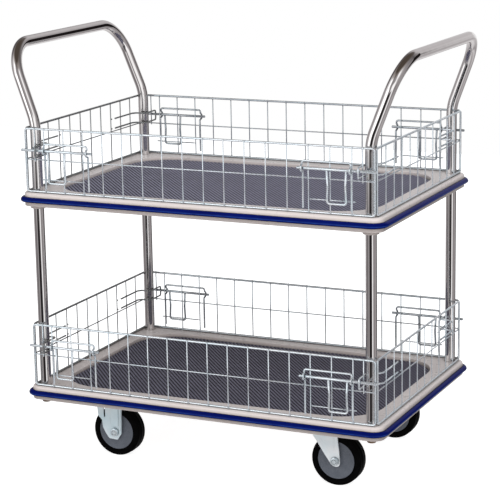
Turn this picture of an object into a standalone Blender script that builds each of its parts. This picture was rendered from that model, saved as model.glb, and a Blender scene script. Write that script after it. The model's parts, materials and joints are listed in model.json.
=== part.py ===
"""Two-deck platform trolley with wire mesh sides, latch bolts, bumpers and four casters.

Metres, +Z up, floor at z = 0, X along the length (swivel casters at +X), -Y the front.
"""

import math

import bmesh
import bpy
from mathutils import Matrix, Vector

# ---- whole trolley
DECK_HALF_LENGTH = 0.440      # outer wall of the pressed deck, without the bumper
DECK_HALF_WIDTH = 0.290
DECK_LOWER_TOP = 0.1795       # ledge of the lower deck above the floor
DECK_UPPER_TOP = 0.6410       # ledge of the upper deck above the floor
GAP = 0.0003                  # working gap between touching pieces
WELD = 0.0010                 # how far features of one piece run into each other
CUT_MARGIN = 0.010            # how far a cutter runs past the material

# ---- facets round a full turn
TYRE_SIDES = 36
HUB_SIDES = 24
PIN_SIDES = 16
SOCKET_SIDES = 14
SHANK_SIDES = 12
ROD_SIDES = 8
HEX_SIDES = 6

# ---- pressed steel deck
DECK_DEPTH = 0.032
DECK_SHEET = 0.0016
DECK_CORNER_RADIUS = 0.026
DECK_SHOULDER_RADIUS = 0.006
DECK_LIP = 0.010              # inward return lip along the bottom edge
DECK_LIP_CORNER = 0.004       # smallest corner radius, inside the lip
RECESS_HALF_LENGTH = 0.393
RECESS_HALF_WIDTH = 0.246
RECESS_CORNER_RADIUS = 0.098
RECESS_DEPTH = 0.010
RECESS_EDGE = 0.0012          # rounding of the recess edge
CORNER_STEPS = 5
SOCKET_RADIUS = 0.018         # tube socket under each post hole
SOCKET_DEPTH_UPPER = 0.0388
SOCKET_DEPTH_LOWER = 0.0350

# ---- mat
MAT_THICKNESS = 0.0035
MAT_CLEARANCE = 0.0015

# ---- bumper: outward offset and height below the ledge, round the moulding
BUMPER_PROFILE = (
    (0.0003, -0.0105),
    (0.0050, -0.0113),
    (0.0083, -0.0135),
    (0.0098, -0.0162),
    (0.0100, -0.0182),
    (0.0088, -0.0207),
    (0.0060, -0.0224),
    (0.0003, -0.0230),
)

# ---- handle tubes
TUBE_RADIUS = 0.0125
TUBE_WALL = 0.0015
POST_X = 0.4092
POST_Y = 0.2629
POST_FOOT = 0.1445
HANDLE_KINK_HEIGHT = 0.800    # the posts lean outward above this height
HANDLE_TOP_HEIGHT = 0.974
HANDLE_TOP_X = 0.476
HANDLE_TOP_Y = 0.2550         # the legs draw in a little towards the push bar
HANDLE_KINK_RADIUS = 0.125
HANDLE_CORNER_RADIUS = 0.083
HANDLE_BEND_STEPS = 6
HOLE_RADIUS = 0.0132
PLUG_HEAD_RADIUS = 0.0104
PLUG_HEAD_HEIGHT = 0.0082
PLUG_SHANK_HEIGHT = 0.024
PLUG_CLEARANCE = 0.0008

# ---- wire mesh panels
PITCH = 0.050
SIDE_CELLS = 17
END_CELLS = 11
MESH_HEIGHT = 0.1446          # bottom rail centre to top rail centre
MESH_MID_HEIGHT = 0.0740
RAIL_HALF = 0.0025            # half side of the frame rails
BAR_HALF = 0.00135            # half side of the thin bars
MID_INSET = 0.0013            # the middle wire lies on the inner side of the bars
SIDE_PLANE_Y = 0.2820
END_PLANE_X = 0.4274
SHORT_BAR_X = 0.3995
WIRE_BEND_STEPS = 2

# ---- latches, heights above the bottom rail centre
BOLT_RADIUS = 0.0030
BOLT_HEIGHT = 0.0960
BOLT_Y = 0.2900
BOLT_INNER_X = 0.2495
BOLT_OUTER_X = 0.4327
PULL_RADIUS = 0.0024
PULL_INNER_X = 0.3190
PULL_OUTER_X = 0.3635
PULL_BOTTOM = 0.0220
PULL_WAIST = 0.0020
PULL_CORNER_RADIUS = 0.006
GUIDE_RADIUS = 0.00225
GUIDE_INNER_X = 0.2620
GUIDE_OUTER_X = 0.3735
GUIDE_Y = 0.2850
GUIDE_UPPER_Y = 0.2890
GUIDE_EYE_Y = 0.2960
GUIDE_FOOT = 0.0085
GUIDE_TOP = 0.1120
GUIDE_CORNER_RADIUS = 0.005
# one guide leg from foot to top: distance from the panel's middle plane and height
GUIDE_LEG = (
    (GUIDE_Y, GUIDE_FOOT),
    (GUIDE_Y, BOLT_HEIGHT - 0.0090),
    (GUIDE_EYE_Y, BOLT_HEIGHT - 0.0045),
    (GUIDE_EYE_Y, BOLT_HEIGHT + 0.0035),
    (GUIDE_UPPER_Y, BOLT_HEIGHT + 0.0090),
    (GUIDE_UPPER_Y, GUIDE_TOP),
)
CROSS_WIRE_HEIGHT = 0.0285
CROSS_WIRE_INNER_X = 0.2780
CROSS_WIRE_OUTER_X = 0.3825
CROSS_WIRE_Y = 0.2838
HASP_RADIUS = 0.0020
HASP_LOW = 0.0810
HASP_HIGH = 0.1050
HASP_PANEL_X = 0.4245
HASP_FREE_Y = 0.1400
HASP_JOG_Y = 0.2280
HASP_JOG_X = 0.4165
HASP_BEND_Y = 0.2380
HASP_REACH_X = 0.3930
HASP_END_Y = 0.2963
HASP_BEND_RADIUS = 0.006
HASP_LOOP_RADIUS = 0.005

# ---- casters
WHEEL_RADIUS = 0.060
WHEEL_WIDTH = 0.036
TYRE_INNER_RADIUS = 0.0458
TYRE_SHOULDER = 0.0058
HUB_RADIUS = 0.0455
HUB_WIDTH = 0.034
HUB_BOSS_RADIUS = 0.014
HUB_BOSS_WIDTH = 0.0398
HUB_BORE = 0.0078
SLEEVE_RADIUS = 0.0075
CASTER_Y = 0.180
FIXED_X = -0.262
SWIVEL_X = 0.262
SWIVEL_TRAIL = 0.036
AXLE_RADIUS = 0.0050
AXLE_HOLE = 0.0055
NUT_RADIUS = 0.0100
NUT_HEIGHT = 0.0075
HEAD_HEIGHT = 0.0065
FORK_INNER = 0.0206
FORK_SHEET = 0.0025
PLATE_HALF_LENGTH = 0.050
PLATE_HALF_WIDTH = 0.040
PLATE_THICKNESS = 0.003
PLATE_TOP = DECK_LOWER_TOP - RECESS_DEPTH - DECK_SHEET - GAP
RACE_RADIUS = 0.029
RACE_DEPTH = 0.0075
CROWN_THICKNESS = 0.003
KINGPIN_RADIUS = 0.0057
KINGPIN_HOLE = 0.0062
KINGPIN_HEAD_RADIUS = 0.010
KINGPIN_HEAD_DEPTH = 0.006
KINGPIN_SINK = 0.0005         # the riveted end stays below the plate's top

# side plates of the brackets, x and z from the axle
FIXED_SIDE = (
    (-0.0480, 0.1060),
    (-0.0466, 0.0560),
    (-0.0445, 0.0350),
    (-0.0350, 0.0260),
    (-0.0329, 0.0080),
    (-0.0256, -0.0060),
    (-0.0165, -0.0178),
    (0.0054, -0.0192),
    (0.0158, -0.0040),
    (0.0175, 0.0200),
    (0.0200, 0.1060),
)
SWIVEL_SIDE = (
    (-0.0680, 0.0960),
    (-0.0610, 0.0650),
    (-0.0428, 0.0390),
    (-0.0258, 0.0130),
    (-0.0126, -0.0050),
    (-0.0065, -0.0118),
    (0.0010, -0.0140),
    (0.0080, -0.0125),
    (0.0112, -0.0070),
    (0.0100, 0.0200),
    (0.0060, 0.0560),
    (0.0000, 0.0960),
)

# ---- materials: colour, roughness, metallic
FINISHES = {
    "enamel_cream": ((0.66, 0.60, 0.55), 0.30, 0.0),
    "mat_rubber_grey": ((0.10, 0.10, 0.115), 0.80, 0.0),
    "pvc_blue": ((0.010, 0.018, 0.16), 0.28, 0.0),
    "tube_chrome": ((0.78, 0.77, 0.76), 0.08, 1.0),
    "wire_zinc": ((0.68, 0.71, 0.75), 0.24, 1.0),
    "plug_steel": ((0.45, 0.38, 0.33), 0.40, 1.0),
    "bracket_zinc": ((0.62, 0.70, 0.74), 0.32, 1.0),
    "tyre_rubber": ((0.012, 0.012, 0.014), 0.65, 0.0),
    "hub_plastic_grey": ((0.13, 0.14, 0.16), 0.50, 0.0),
    "fastener_zinc": ((0.66, 0.71, 0.74), 0.28, 1.0),
}

DECKS = (("lower", DECK_LOWER_TOP, SOCKET_DEPTH_LOWER), ("upper", DECK_UPPER_TOP, SOCKET_DEPTH_UPPER))
X_SIDES = (("left", -1), ("right", 1))
Y_SIDES = (("front", -1), ("rear", 1))


def clear_scene():
    """Empties the start-up scene."""
    for obj in list(bpy.data.objects):
        bpy.data.objects.remove(obj)


def make_materials():
    """One Principled material for each finish."""
    made = {}
    for name, (colour, roughness, metallic) in FINISHES.items():
        mat = bpy.data.materials.new(name)
        mat.use_nodes = True
        shader = mat.node_tree.nodes["Principled BSDF"]
        shader.inputs["Base Color"].default_value = (*colour, 1.0)
        shader.inputs["Roughness"].default_value = roughness
        shader.inputs["Metallic"].default_value = metallic
        made[name] = mat
    return made


def add_object(name, mesh):
    """Puts a mesh in the scene as a named object."""
    obj = bpy.data.objects.new(name, mesh)
    bpy.context.scene.collection.objects.link(obj)
    return obj


def mesh_object(name, bm):
    """Turns a bmesh into an object with outward faces."""
    bmesh.ops.recalc_face_normals(bm, faces=bm.faces)
    mesh = bpy.data.meshes.new(name)
    bm.to_mesh(mesh)
    bm.free()
    return add_object(name, mesh)


def bake(obj):
    """Replaces an object's mesh with the result of its modifiers."""
    bpy.context.view_layer.update()
    graph = bpy.context.evaluated_depsgraph_get()
    mesh = bpy.data.meshes.new_from_object(obj.evaluated_get(graph))
    obj.modifiers.clear()
    obj.data = mesh
    return obj


def join(objects):
    """Gathers several mesh objects into the first one."""
    bm = bmesh.new()
    for obj in objects:
        bm.from_mesh(obj.data)
    bm.to_mesh(objects[0].data)
    bm.free()
    for obj in objects[1:]:
        bpy.data.objects.remove(obj)
    return objects[0]


def combine(obj, tools, operation):
    """Adds tools to an object or cuts them out of it."""
    tool = join(tools)
    tool.hide_render = True
    tool.display_type = "WIRE"
    mod = obj.modifiers.new(operation, "BOOLEAN")
    mod.operation = operation
    mod.solver = "EXACT"
    mod.use_self = True
    mod.object = tool
    bake(obj)
    bpy.data.objects.remove(tool)
    return obj


def finish(obj, name, material, pivot=(0.0, 0.0, 0.0), smooth_angle=35.0):
    """Names, shades and colours a piece and puts its origin on the pivot."""
    obj.name = name
    obj.data.name = name
    pivot = Vector(pivot)
    bm = bmesh.new()
    bm.from_mesh(obj.data)
    bmesh.ops.dissolve_degenerate(bm, dist=0.000005, edges=bm.edges)
    bmesh.ops.translate(bm, vec=-pivot, verts=bm.verts)
    for face in bm.faces:
        face.smooth = True
    for edge in bm.edges:
        edge.smooth = edge.calc_face_angle(math.pi) < math.radians(smooth_angle)
    bm.to_mesh(obj.data)
    bm.free()
    obj.location = pivot
    obj.data.materials.clear()
    obj.data.materials.append(MATERIALS[material])
    return obj


def rounded_rectangle(half_x, half_y, radius, z):
    """Corner points of a rounded rectangle, anticlockwise from +X."""
    points = []
    centres = ((1, 1), (-1, 1), (-1, -1), (1, -1))
    for corner, (sx, sy) in enumerate(centres):
        for step in range(CORNER_STEPS + 1):
            angle = math.pi / 2 * (corner + step / CORNER_STEPS)
            x = sx * (half_x - radius) + radius * math.cos(angle)
            y = sy * (half_y - radius) + radius * math.sin(angle)
            points.append(Vector((x, y, z)))
    return points


def loft(bm, rings, capped=True):
    """Skins rings of equal point count; capped closes both ends, otherwise the last joins the first."""
    loops = [[bm.verts.new(point) for point in ring] for ring in rings]
    pairs = list(zip(loops, loops[1:]))
    if capped:
        bm.faces.new(loops[0])
        bm.faces.new(list(reversed(loops[-1])))
    else:
        pairs.append((loops[-1], loops[0]))
    for first, second in pairs:
        count = len(first)
        for i in range(count):
            j = (i + 1) % count
            bm.faces.new((first[i], first[j], second[j], second[i]))


def cylinder(name, radius, start, end, sides):
    """A capped cylinder between two points."""
    start = Vector(start)
    end = Vector(end)
    axis = end - start
    turn = Vector((0, 0, 1)).rotation_difference(axis).to_matrix().to_4x4()
    place = Matrix.Translation((start + end) / 2) @ turn
    bm = bmesh.new()
    bmesh.ops.create_cone(
        bm,
        cap_ends=True,
        segments=sides,
        radius1=radius,
        radius2=radius,
        depth=axis.length,
        matrix=place,
    )
    return mesh_object(name, bm)


def box(name, low, high):
    """A box from its low corner to its high corner."""
    low = Vector(low)
    high = Vector(high)
    size = high - low
    bm = bmesh.new()
    place = Matrix.Translation((low + high) / 2) @ Matrix.Diagonal((*size, 1.0))
    bmesh.ops.create_cube(bm, size=1.0, matrix=place)
    return mesh_object(name, bm)


def span_box(name, a, b, half):
    """A square bar between two points on one axis, with the given half side."""
    low = [min(p, q) for p, q in zip(a, b)]
    high = [max(p, q) for p, q in zip(a, b)]
    for axis in range(3):
        if high[axis] - low[axis] < half:
            low[axis] -= half
            high[axis] += half
    return box(name, low, high)


def side_plate(name, outline, y_low, y_high):
    """An outline in x and z given thickness along y."""
    bm = bmesh.new()
    near = [bm.verts.new((x, y_low, z)) for x, z in outline]
    face = bm.faces.new(near)
    made = bmesh.ops.extrude_face_region(bm, geom=[face])
    moved = [item for item in made["geom"] if isinstance(item, bmesh.types.BMVert)]
    bmesh.ops.translate(bm, vec=(0, y_high - y_low, 0), verts=moved)
    return mesh_object(name, bm)


def filleted(points, radii, steps):
    """A path through points whose inner corners are rounded to the given radii."""
    points = [Vector(p) for p in points]
    path = [points[0]]
    for i in range(1, len(points) - 1):
        corner = points[i]
        back = (points[i - 1] - corner).normalized()
        ahead = (points[i + 1] - corner).normalized()
        turn = math.pi - back.angle(ahead)
        radius = radii[i - 1]
        if radius <= 0.0 or turn < 0.01:
            path.append(corner)
            continue
        tangent = radius * math.tan(turn / 2)
        bisector = (back + ahead).normalized()
        centre = corner + bisector * (radius / math.cos(turn / 2))
        start = corner + back * tangent - centre
        end = corner + ahead * tangent - centre
        count = max(2, round(steps * turn / (math.pi / 2)))
        for step in range(count + 1):
            part = step / count
            low = math.sin((1 - part) * turn) / math.sin(turn)
            high = math.sin(part * turn) / math.sin(turn)
            path.append(centre + start * low + end * high)
    path.append(points[-1])
    return path


def wire(name, path, radius, resolution, closed=False, caps=True):
    """A round wire along a path, from a bevelled curve."""
    curve = bpy.data.curves.new(name, "CURVE")
    curve.dimensions = "3D"
    curve.bevel_depth = radius
    curve.bevel_resolution = resolution
    curve.use_fill_caps = caps
    spline = curve.splines.new("POLY")
    spline.points.add(len(path) - 1)
    for point, place in zip(spline.points, path):
        point.co = (*place, 1.0)
    spline.use_cyclic_u = closed
    obj = bpy.data.objects.new(name, curve)
    bpy.context.scene.collection.objects.link(obj)
    bpy.context.view_layer.update()
    graph = bpy.context.evaluated_depsgraph_get()
    mesh = bpy.data.meshes.new_from_object(obj.evaluated_get(graph))
    bpy.data.objects.remove(obj)
    bm = bmesh.new()
    bm.from_mesh(mesh)
    bmesh.ops.remove_doubles(bm, verts=bm.verts, dist=0.000001)
    bm.to_mesh(mesh)
    bm.free()
    return add_object(name, mesh)


def build_deck(level, top, socket_depth):
    """Pressed tray: lip, wall, ledge and recess, with a socket under each post hole."""
    sheet = DECK_SHEET
    shoulder = DECK_SHOULDER_RADIUS
    soft = shoulder * (1 - math.sqrt(0.5))
    low = top - DECK_DEPTH

    def outer(inset, z):
        radius = max(DECK_CORNER_RADIUS - inset, DECK_LIP_CORNER)
        return rounded_rectangle(DECK_HALF_LENGTH - inset, DECK_HALF_WIDTH - inset, radius, z)

    def recess(grow, z):
        return rounded_rectangle(
            RECESS_HALF_LENGTH + grow, RECESS_HALF_WIDTH + grow, RECESS_CORNER_RADIUS + grow, z
        )

    rings = [
        recess(0.0, top - RECESS_DEPTH),
        recess(0.0, top - RECESS_EDGE),
        recess(RECESS_EDGE, top),
        outer(shoulder, top),
        outer(soft, top - soft),
        outer(0.0, top - shoulder),
        outer(0.0, low),
        outer(DECK_LIP, low),
        outer(DECK_LIP, low + sheet),
        outer(sheet, low + sheet),
        outer(sheet, top - shoulder),
        outer(shoulder, top - sheet),
        recess(sheet, top - sheet),
        recess(sheet, top - RECESS_DEPTH - sheet),
    ]
    bm = bmesh.new()
    loft(bm, rings)
    deck = mesh_object("deck", bm)
    sockets = []
    holes = []
    for _, sx in X_SIDES:
        for _, sy in Y_SIDES:
            x = sx * POST_X
            y = sy * POST_Y
            start = (x, y, top - sheet / 2)
            end = (x, y, top - socket_depth)
            sockets.append(cylinder("socket", SOCKET_RADIUS, start, end, SOCKET_SIDES))
            above = (x, y, top + CUT_MARGIN)
            below = (x, y, top - socket_depth - CUT_MARGIN)
            holes.append(cylinder("hole", HOLE_RADIUS, above, below, SOCKET_SIDES))
    combine(deck, sockets, "UNION")
    combine(deck, holes, "DIFFERENCE")
    finish(deck, f"deck_{level}", "enamel_cream")


def build_mat(level, top):
    """Flat mat lying in the recess."""
    half_x = RECESS_HALF_LENGTH - MAT_CLEARANCE
    half_y = RECESS_HALF_WIDTH - MAT_CLEARANCE
    radius = RECESS_CORNER_RADIUS - MAT_CLEARANCE
    low = top - RECESS_DEPTH + GAP
    rings = [
        rounded_rectangle(half_x, half_y, radius, low),
        rounded_rectangle(half_x, half_y, radius, low + MAT_THICKNESS),
    ]
    bm = bmesh.new()
    loft(bm, rings)
    finish(mesh_object("mat", bm), f"mat_{level}", "mat_rubber_grey")


def build_bumper(level, top):
    """Moulded strip gripping the deck wall all the way round."""
    rings = []
    for offset, drop in BUMPER_PROFILE:
        rings.append(
            rounded_rectangle(
                DECK_HALF_LENGTH + offset,
                DECK_HALF_WIDTH + offset,
                DECK_CORNER_RADIUS + offset,
                top + drop,
            )
        )
    bm = bmesh.new()
    loft(bm, rings, capped=False)
    finish(mesh_object("bumper", bm), f"bumper_{level}", "pvc_blue", smooth_angle=50.0)


def build_handle(side, sx):
    """One bent tube: two posts through both decks and the push bar between them."""
    corners = [
        (sx * POST_X, -POST_Y, POST_FOOT),
        (sx * POST_X, -POST_Y, HANDLE_KINK_HEIGHT),
        (sx * HANDLE_TOP_X, -HANDLE_TOP_Y, HANDLE_TOP_HEIGHT),
        (sx * HANDLE_TOP_X, HANDLE_TOP_Y, HANDLE_TOP_HEIGHT),
        (sx * POST_X, POST_Y, HANDLE_KINK_HEIGHT),
        (sx * POST_X, POST_Y, POST_FOOT),
    ]
    radii = [HANDLE_KINK_RADIUS, HANDLE_CORNER_RADIUS, HANDLE_CORNER_RADIUS, HANDLE_KINK_RADIUS]
    path = filleted(corners, radii, HANDLE_BEND_STEPS)
    tube = wire("tube", path, TUBE_RADIUS, 4, caps=False)
    wall = tube.modifiers.new("wall", "SOLIDIFY")
    wall.thickness = TUBE_WALL
    wall.offset = -1.0
    wall.use_rim = True
    bake(tube)
    finish(tube, f"handle_tube_{side}", "tube_chrome")


def build_plug(name, sx, sy):
    """Hexagon-headed plug in the open foot of a post."""
    x = sx * POST_X
    y = sy * POST_Y
    head_top = POST_FOOT - GAP
    head_low = (x, y, head_top - PLUG_HEAD_HEIGHT)
    head = cylinder("plug", PLUG_HEAD_RADIUS, head_low, (x, y, head_top), HEX_SIDES)
    fit = TUBE_RADIUS - TUBE_WALL - PLUG_CLEARANCE
    shank_low = (x, y, head_top - WELD)
    shank_top = (x, y, head_top + PLUG_SHANK_HEIGHT)
    shank = cylinder("shank", fit, shank_low, shank_top, SHANK_SIDES)
    combine(head, [shank], "UNION")
    finish(head, f"post_plug_{name}", "plug_steel")


def guide_path(sx, sy, base):
    """Guide wire of one latch: two legs that bow round the bolt, joined along the top."""
    legs = []
    for x in (GUIDE_INNER_X, GUIDE_OUTER_X):
        legs.append([(sx * x, sy * y, base + z) for y, z in GUIDE_LEG])
    points = legs[0] + list(reversed(legs[1]))
    radii = [0.0] * (len(points) - 2)
    top_corner = len(GUIDE_LEG) - 2
    radii[top_corner] = GUIDE_CORNER_RADIUS
    radii[top_corner + 1] = GUIDE_CORNER_RADIUS
    return filleted(points, radii, WIRE_BEND_STEPS)


def rail_frame(half, middle, base):
    """Rectangle of square rail: half lengths and middle in x and y, bottom rail centre at base."""
    along = Vector((1 if half[0] else 0, 1 if half[1] else 0, 0))
    across = Vector((along.y, along.x, 0))
    reach = max(half)
    centre = Vector((middle[0], middle[1], base))
    up = Vector((0, 0, 1))
    rings = []
    for grow, side in ((-1, -1), (1, -1), (1, 1), (-1, 1)):
        out = grow * RAIL_HALF
        shift = across * (side * RAIL_HALF)
        low = centre + shift - up * out
        high = centre + shift + up * (MESH_HEIGHT + out)
        ends = along * (reach + out)
        rings.append([low - ends, low + ends, high + ends, high - ends])
    bm = bmesh.new()
    loft(bm, rings, capped=False)
    return mesh_object("frame", bm)


def build_side_panel(level, where, sy, top):
    """Long mesh panel with the two bolt guides welded on its outer face."""
    base = top + RAIL_HALF + GAP
    half = PITCH * SIDE_CELLS / 2
    y = sy * SIDE_PLANE_Y
    frame = rail_frame((half, 0), (0, y), base)
    bars = []
    for i in range(1, SIDE_CELLS):
        x = -half + PITCH * i
        bars.append(span_box("bar", (x, y, base), (x, y, base + MESH_HEIGHT), BAR_HALF))
    mid = base + MESH_MID_HEIGHT
    y_mid = y - sy * MID_INSET
    bars.append(span_box("mid", (-half, y_mid, mid), (half, y_mid, mid), BAR_HALF))
    for _, sx in X_SIDES:
        x = sx * SHORT_BAR_X
        foot = mid - BAR_HALF - WELD
        bars.append(span_box("short", (x, y, foot), (x, y, base + MESH_HEIGHT), BAR_HALF))
        bars.append(wire("guide", guide_path(sx, sy, base), GUIDE_RADIUS, 1))
        height = base + CROSS_WIRE_HEIGHT
        y_cross = sy * CROSS_WIRE_Y
        start = (sx * CROSS_WIRE_INNER_X, y_cross, height)
        end = (sx * CROSS_WIRE_OUTER_X, y_cross, height)
        bars.append(span_box("cross", start, end, BAR_HALF))
    combine(frame, bars, "UNION")
    finish(frame, f"mesh_side_{level}_{where}", "wire_zinc", smooth_angle=65.0)


def hasp_path(sx, sy, base):
    """Hasp wire: two parallel arms from the end panel, round the post and out to the bolt."""
    arms = []
    for z in (HASP_LOW, HASP_HIGH):
        arms.append(
            [
                (sx * HASP_PANEL_X, sy * HASP_FREE_Y, base + z),
                (sx * HASP_PANEL_X, sy * HASP_JOG_Y, base + z),
                (sx * HASP_JOG_X, sy * HASP_BEND_Y, base + z),
                (sx * HASP_REACH_X, sy * HASP_BEND_Y, base + z),
                (sx * HASP_REACH_X, sy * HASP_END_Y, base + z),
            ]
        )
    points = arms[0] + list(reversed(arms[1]))
    bend = HASP_BEND_RADIUS
    loop = HASP_LOOP_RADIUS
    radii = [0.0, 0.0, bend, loop, loop, bend, 0.0, 0.0]
    return filleted(points, radii, WIRE_BEND_STEPS)


def build_end_panel(level, where, sx, top):
    """Short mesh panel with a hasp reaching round each post."""
    base = top + RAIL_HALF + GAP
    half = PITCH * END_CELLS / 2
    x = sx * END_PLANE_X
    frame = rail_frame((0, half), (x, 0), base)
    bars = []
    for i in range(1, END_CELLS):
        y = -half + PITCH * i
        bars.append(span_box("bar", (x, y, base), (x, y, base + MESH_HEIGHT), BAR_HALF))
    mid = base + MESH_MID_HEIGHT
    x_mid = x - sx * MID_INSET
    bars.append(span_box("mid", (x_mid, -half, mid), (x_mid, half, mid), BAR_HALF))
    for _, sy in Y_SIDES:
        bars.append(wire("hasp", hasp_path(sx, sy, base), HASP_RADIUS, 1))
    combine(frame, bars, "UNION")
    finish(frame, f"mesh_end_{level}_{where}", "wire_zinc", smooth_angle=65.0)


def build_latch_bolt(name, sx, sy, top):
    """Sliding bolt with its pull handle welded underneath."""
    base = top + RAIL_HALF + GAP
    z = base + BOLT_HEIGHT
    y = sy * BOLT_Y
    inner = (sx * BOLT_INNER_X, y, z)
    outer = (sx * BOLT_OUTER_X, y, z)
    rod = cylinder("rod", BOLT_RADIUS, inner, outer, ROD_SIDES)
    waist_z = base + (BOLT_HEIGHT + PULL_BOTTOM) / 2
    points = [
        (sx * PULL_INNER_X, y, z),
        (sx * (PULL_INNER_X + PULL_WAIST), y, waist_z),
        (sx * PULL_INNER_X, y, base + PULL_BOTTOM),
        (sx * PULL_OUTER_X, y, base + PULL_BOTTOM),
        (sx * (PULL_OUTER_X - PULL_WAIST), y, waist_z),
        (sx * PULL_OUTER_X, y, z),
    ]
    path = filleted(points, [0.0, PULL_CORNER_RADIUS, PULL_CORNER_RADIUS, 0.0], WIRE_BEND_STEPS)
    combine(rod, [wire("pull", path, PULL_RADIUS, 1)], "UNION")
    pivot = (sx * (BOLT_INNER_X + BOLT_OUTER_X) / 2, y, z)
    finish(rod, f"latch_bolt_{name}", "wire_zinc", pivot, smooth_angle=65.0)


def revolved(name, profile, centre, sides):
    """A closed profile of y and radius turned about an axle along Y."""
    rings = []
    for offset, radius in profile:
        ring = []
        for i in range(sides):
            angle = 2 * math.pi * i / sides
            x = centre[0] + radius * math.cos(angle)
            z = centre[2] + radius * math.sin(angle)
            ring.append((x, centre[1] + offset, z))
        rings.append(ring)
    bm = bmesh.new()
    loft(bm, rings, capped=False)
    return mesh_object(name, bm)


def build_wheel(name, x, y):
    """Tyre, hub, axle sleeve, axle bolt and nut of one caster."""
    centre = (x, y, WHEEL_RADIUS)
    half = WHEEL_WIDTH / 2
    shoulder = TYRE_SHOULDER
    tyre = (
        (-half, TYRE_INNER_RADIUS),
        (-half, WHEEL_RADIUS - shoulder),
        (-half + shoulder, WHEEL_RADIUS),
        (half - shoulder, WHEEL_RADIUS),
        (half, WHEEL_RADIUS - shoulder),
        (half, TYRE_INNER_RADIUS),
    )
    ring = revolved("tyre", tyre, centre, TYRE_SIDES)
    finish(ring, f"tyre_{name}", "tyre_rubber", centre, 40.0)
    face = HUB_WIDTH / 2
    boss = HUB_BOSS_WIDTH / 2
    hub = (
        (-boss, HUB_BORE),
        (-boss, HUB_BOSS_RADIUS),
        (-face, HUB_BOSS_RADIUS),
        (-face, HUB_RADIUS),
        (face, HUB_RADIUS),
        (face, HUB_BOSS_RADIUS),
        (boss, HUB_BOSS_RADIUS),
        (boss, HUB_BORE),
    )
    ring = revolved("hub", hub, centre, HUB_SIDES)
    finish(ring, f"hub_{name}", "hub_plastic_grey", centre, 40.0)
    reach = FORK_INNER - GAP
    sleeve = (
        (-reach, AXLE_HOLE),
        (-reach, SLEEVE_RADIUS),
        (reach, SLEEVE_RADIUS),
        (reach, AXLE_HOLE),
    )
    ring = revolved("sleeve", sleeve, centre, PIN_SIDES)
    finish(ring, f"axle_sleeve_{name}", "fastener_zinc", centre, 40.0)
    build_axle_bolt(name, x, y)


def build_axle_bolt(name, x, y):
    """Bolt through fork, sleeve and wheel, with its nut on the outer side of the trolley."""
    centre = (x, y, WHEEL_RADIUS)
    out = 1 if y > 0 else -1

    def along(distance):
        return (x, y + out * distance, WHEEL_RADIUS)

    side = FORK_INNER + FORK_SHEET + GAP
    nut_end = side + NUT_HEIGHT
    bolt = cylinder("axle", NUT_RADIUS, along(-side - HEAD_HEIGHT), along(-side), HEX_SIDES)
    shank = cylinder("shank", AXLE_RADIUS, along(-side - WELD), along(nut_end + WELD), SHANK_SIDES)
    combine(bolt, [shank], "UNION")
    finish(bolt, f"axle_bolt_{name}", "fastener_zinc", centre)
    nut = cylinder("nut", NUT_RADIUS, along(side), along(nut_end), HEX_SIDES)
    bore = cylinder("bore", AXLE_HOLE, along(side - WELD), along(nut_end + WELD), SHANK_SIDES)
    combine(nut, [bore], "DIFFERENCE")
    finish(nut, f"axle_nut_{name}", "fastener_zinc", centre)


def axle_bore(x, y):
    """Cutter for the axle holes of a bracket."""
    reach = FORK_INNER + FORK_SHEET + CUT_MARGIN
    start = (x, y - reach, WHEEL_RADIUS)
    end = (x, y + reach, WHEEL_RADIUS)
    return cylinder("bore", AXLE_HOLE, start, end, SHANK_SIDES)


def kingpin_bore(x, y, low, high):
    """Cutter for the kingpin hole through a plate."""
    start = (x, y, low - CUT_MARGIN)
    end = (x, y, high + CUT_MARGIN)
    return cylinder("bore", KINGPIN_HOLE, start, end, PIN_SIDES)


def fork_sides(outline, x, y):
    """The two side plates of a bracket."""
    placed = [(x + px, WHEEL_RADIUS + pz) for px, pz in outline]
    outer = FORK_INNER + FORK_SHEET
    near = side_plate("side", placed, y - outer, y - FORK_INNER)
    far = side_plate("side", placed, y + FORK_INNER, y + outer)
    return [near, far]


def build_fixed_caster(name, y):
    """Rigid bracket: top plate and two ribbed side plates in one pressing."""
    x = FIXED_X
    plate = box(
        "plate",
        (x - PLATE_HALF_LENGTH, y - PLATE_HALF_WIDTH, PLATE_TOP - PLATE_THICKNESS),
        (x + PLATE_HALF_LENGTH, y + PLATE_HALF_WIDTH, PLATE_TOP),
    )
    combine(plate, fork_sides(FIXED_SIDE, x, y), "UNION")
    combine(plate, [axle_bore(x, y)], "DIFFERENCE")
    finish(plate, f"caster_bracket_{name}", "bracket_zinc")
    build_wheel(name, x, y)


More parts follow.
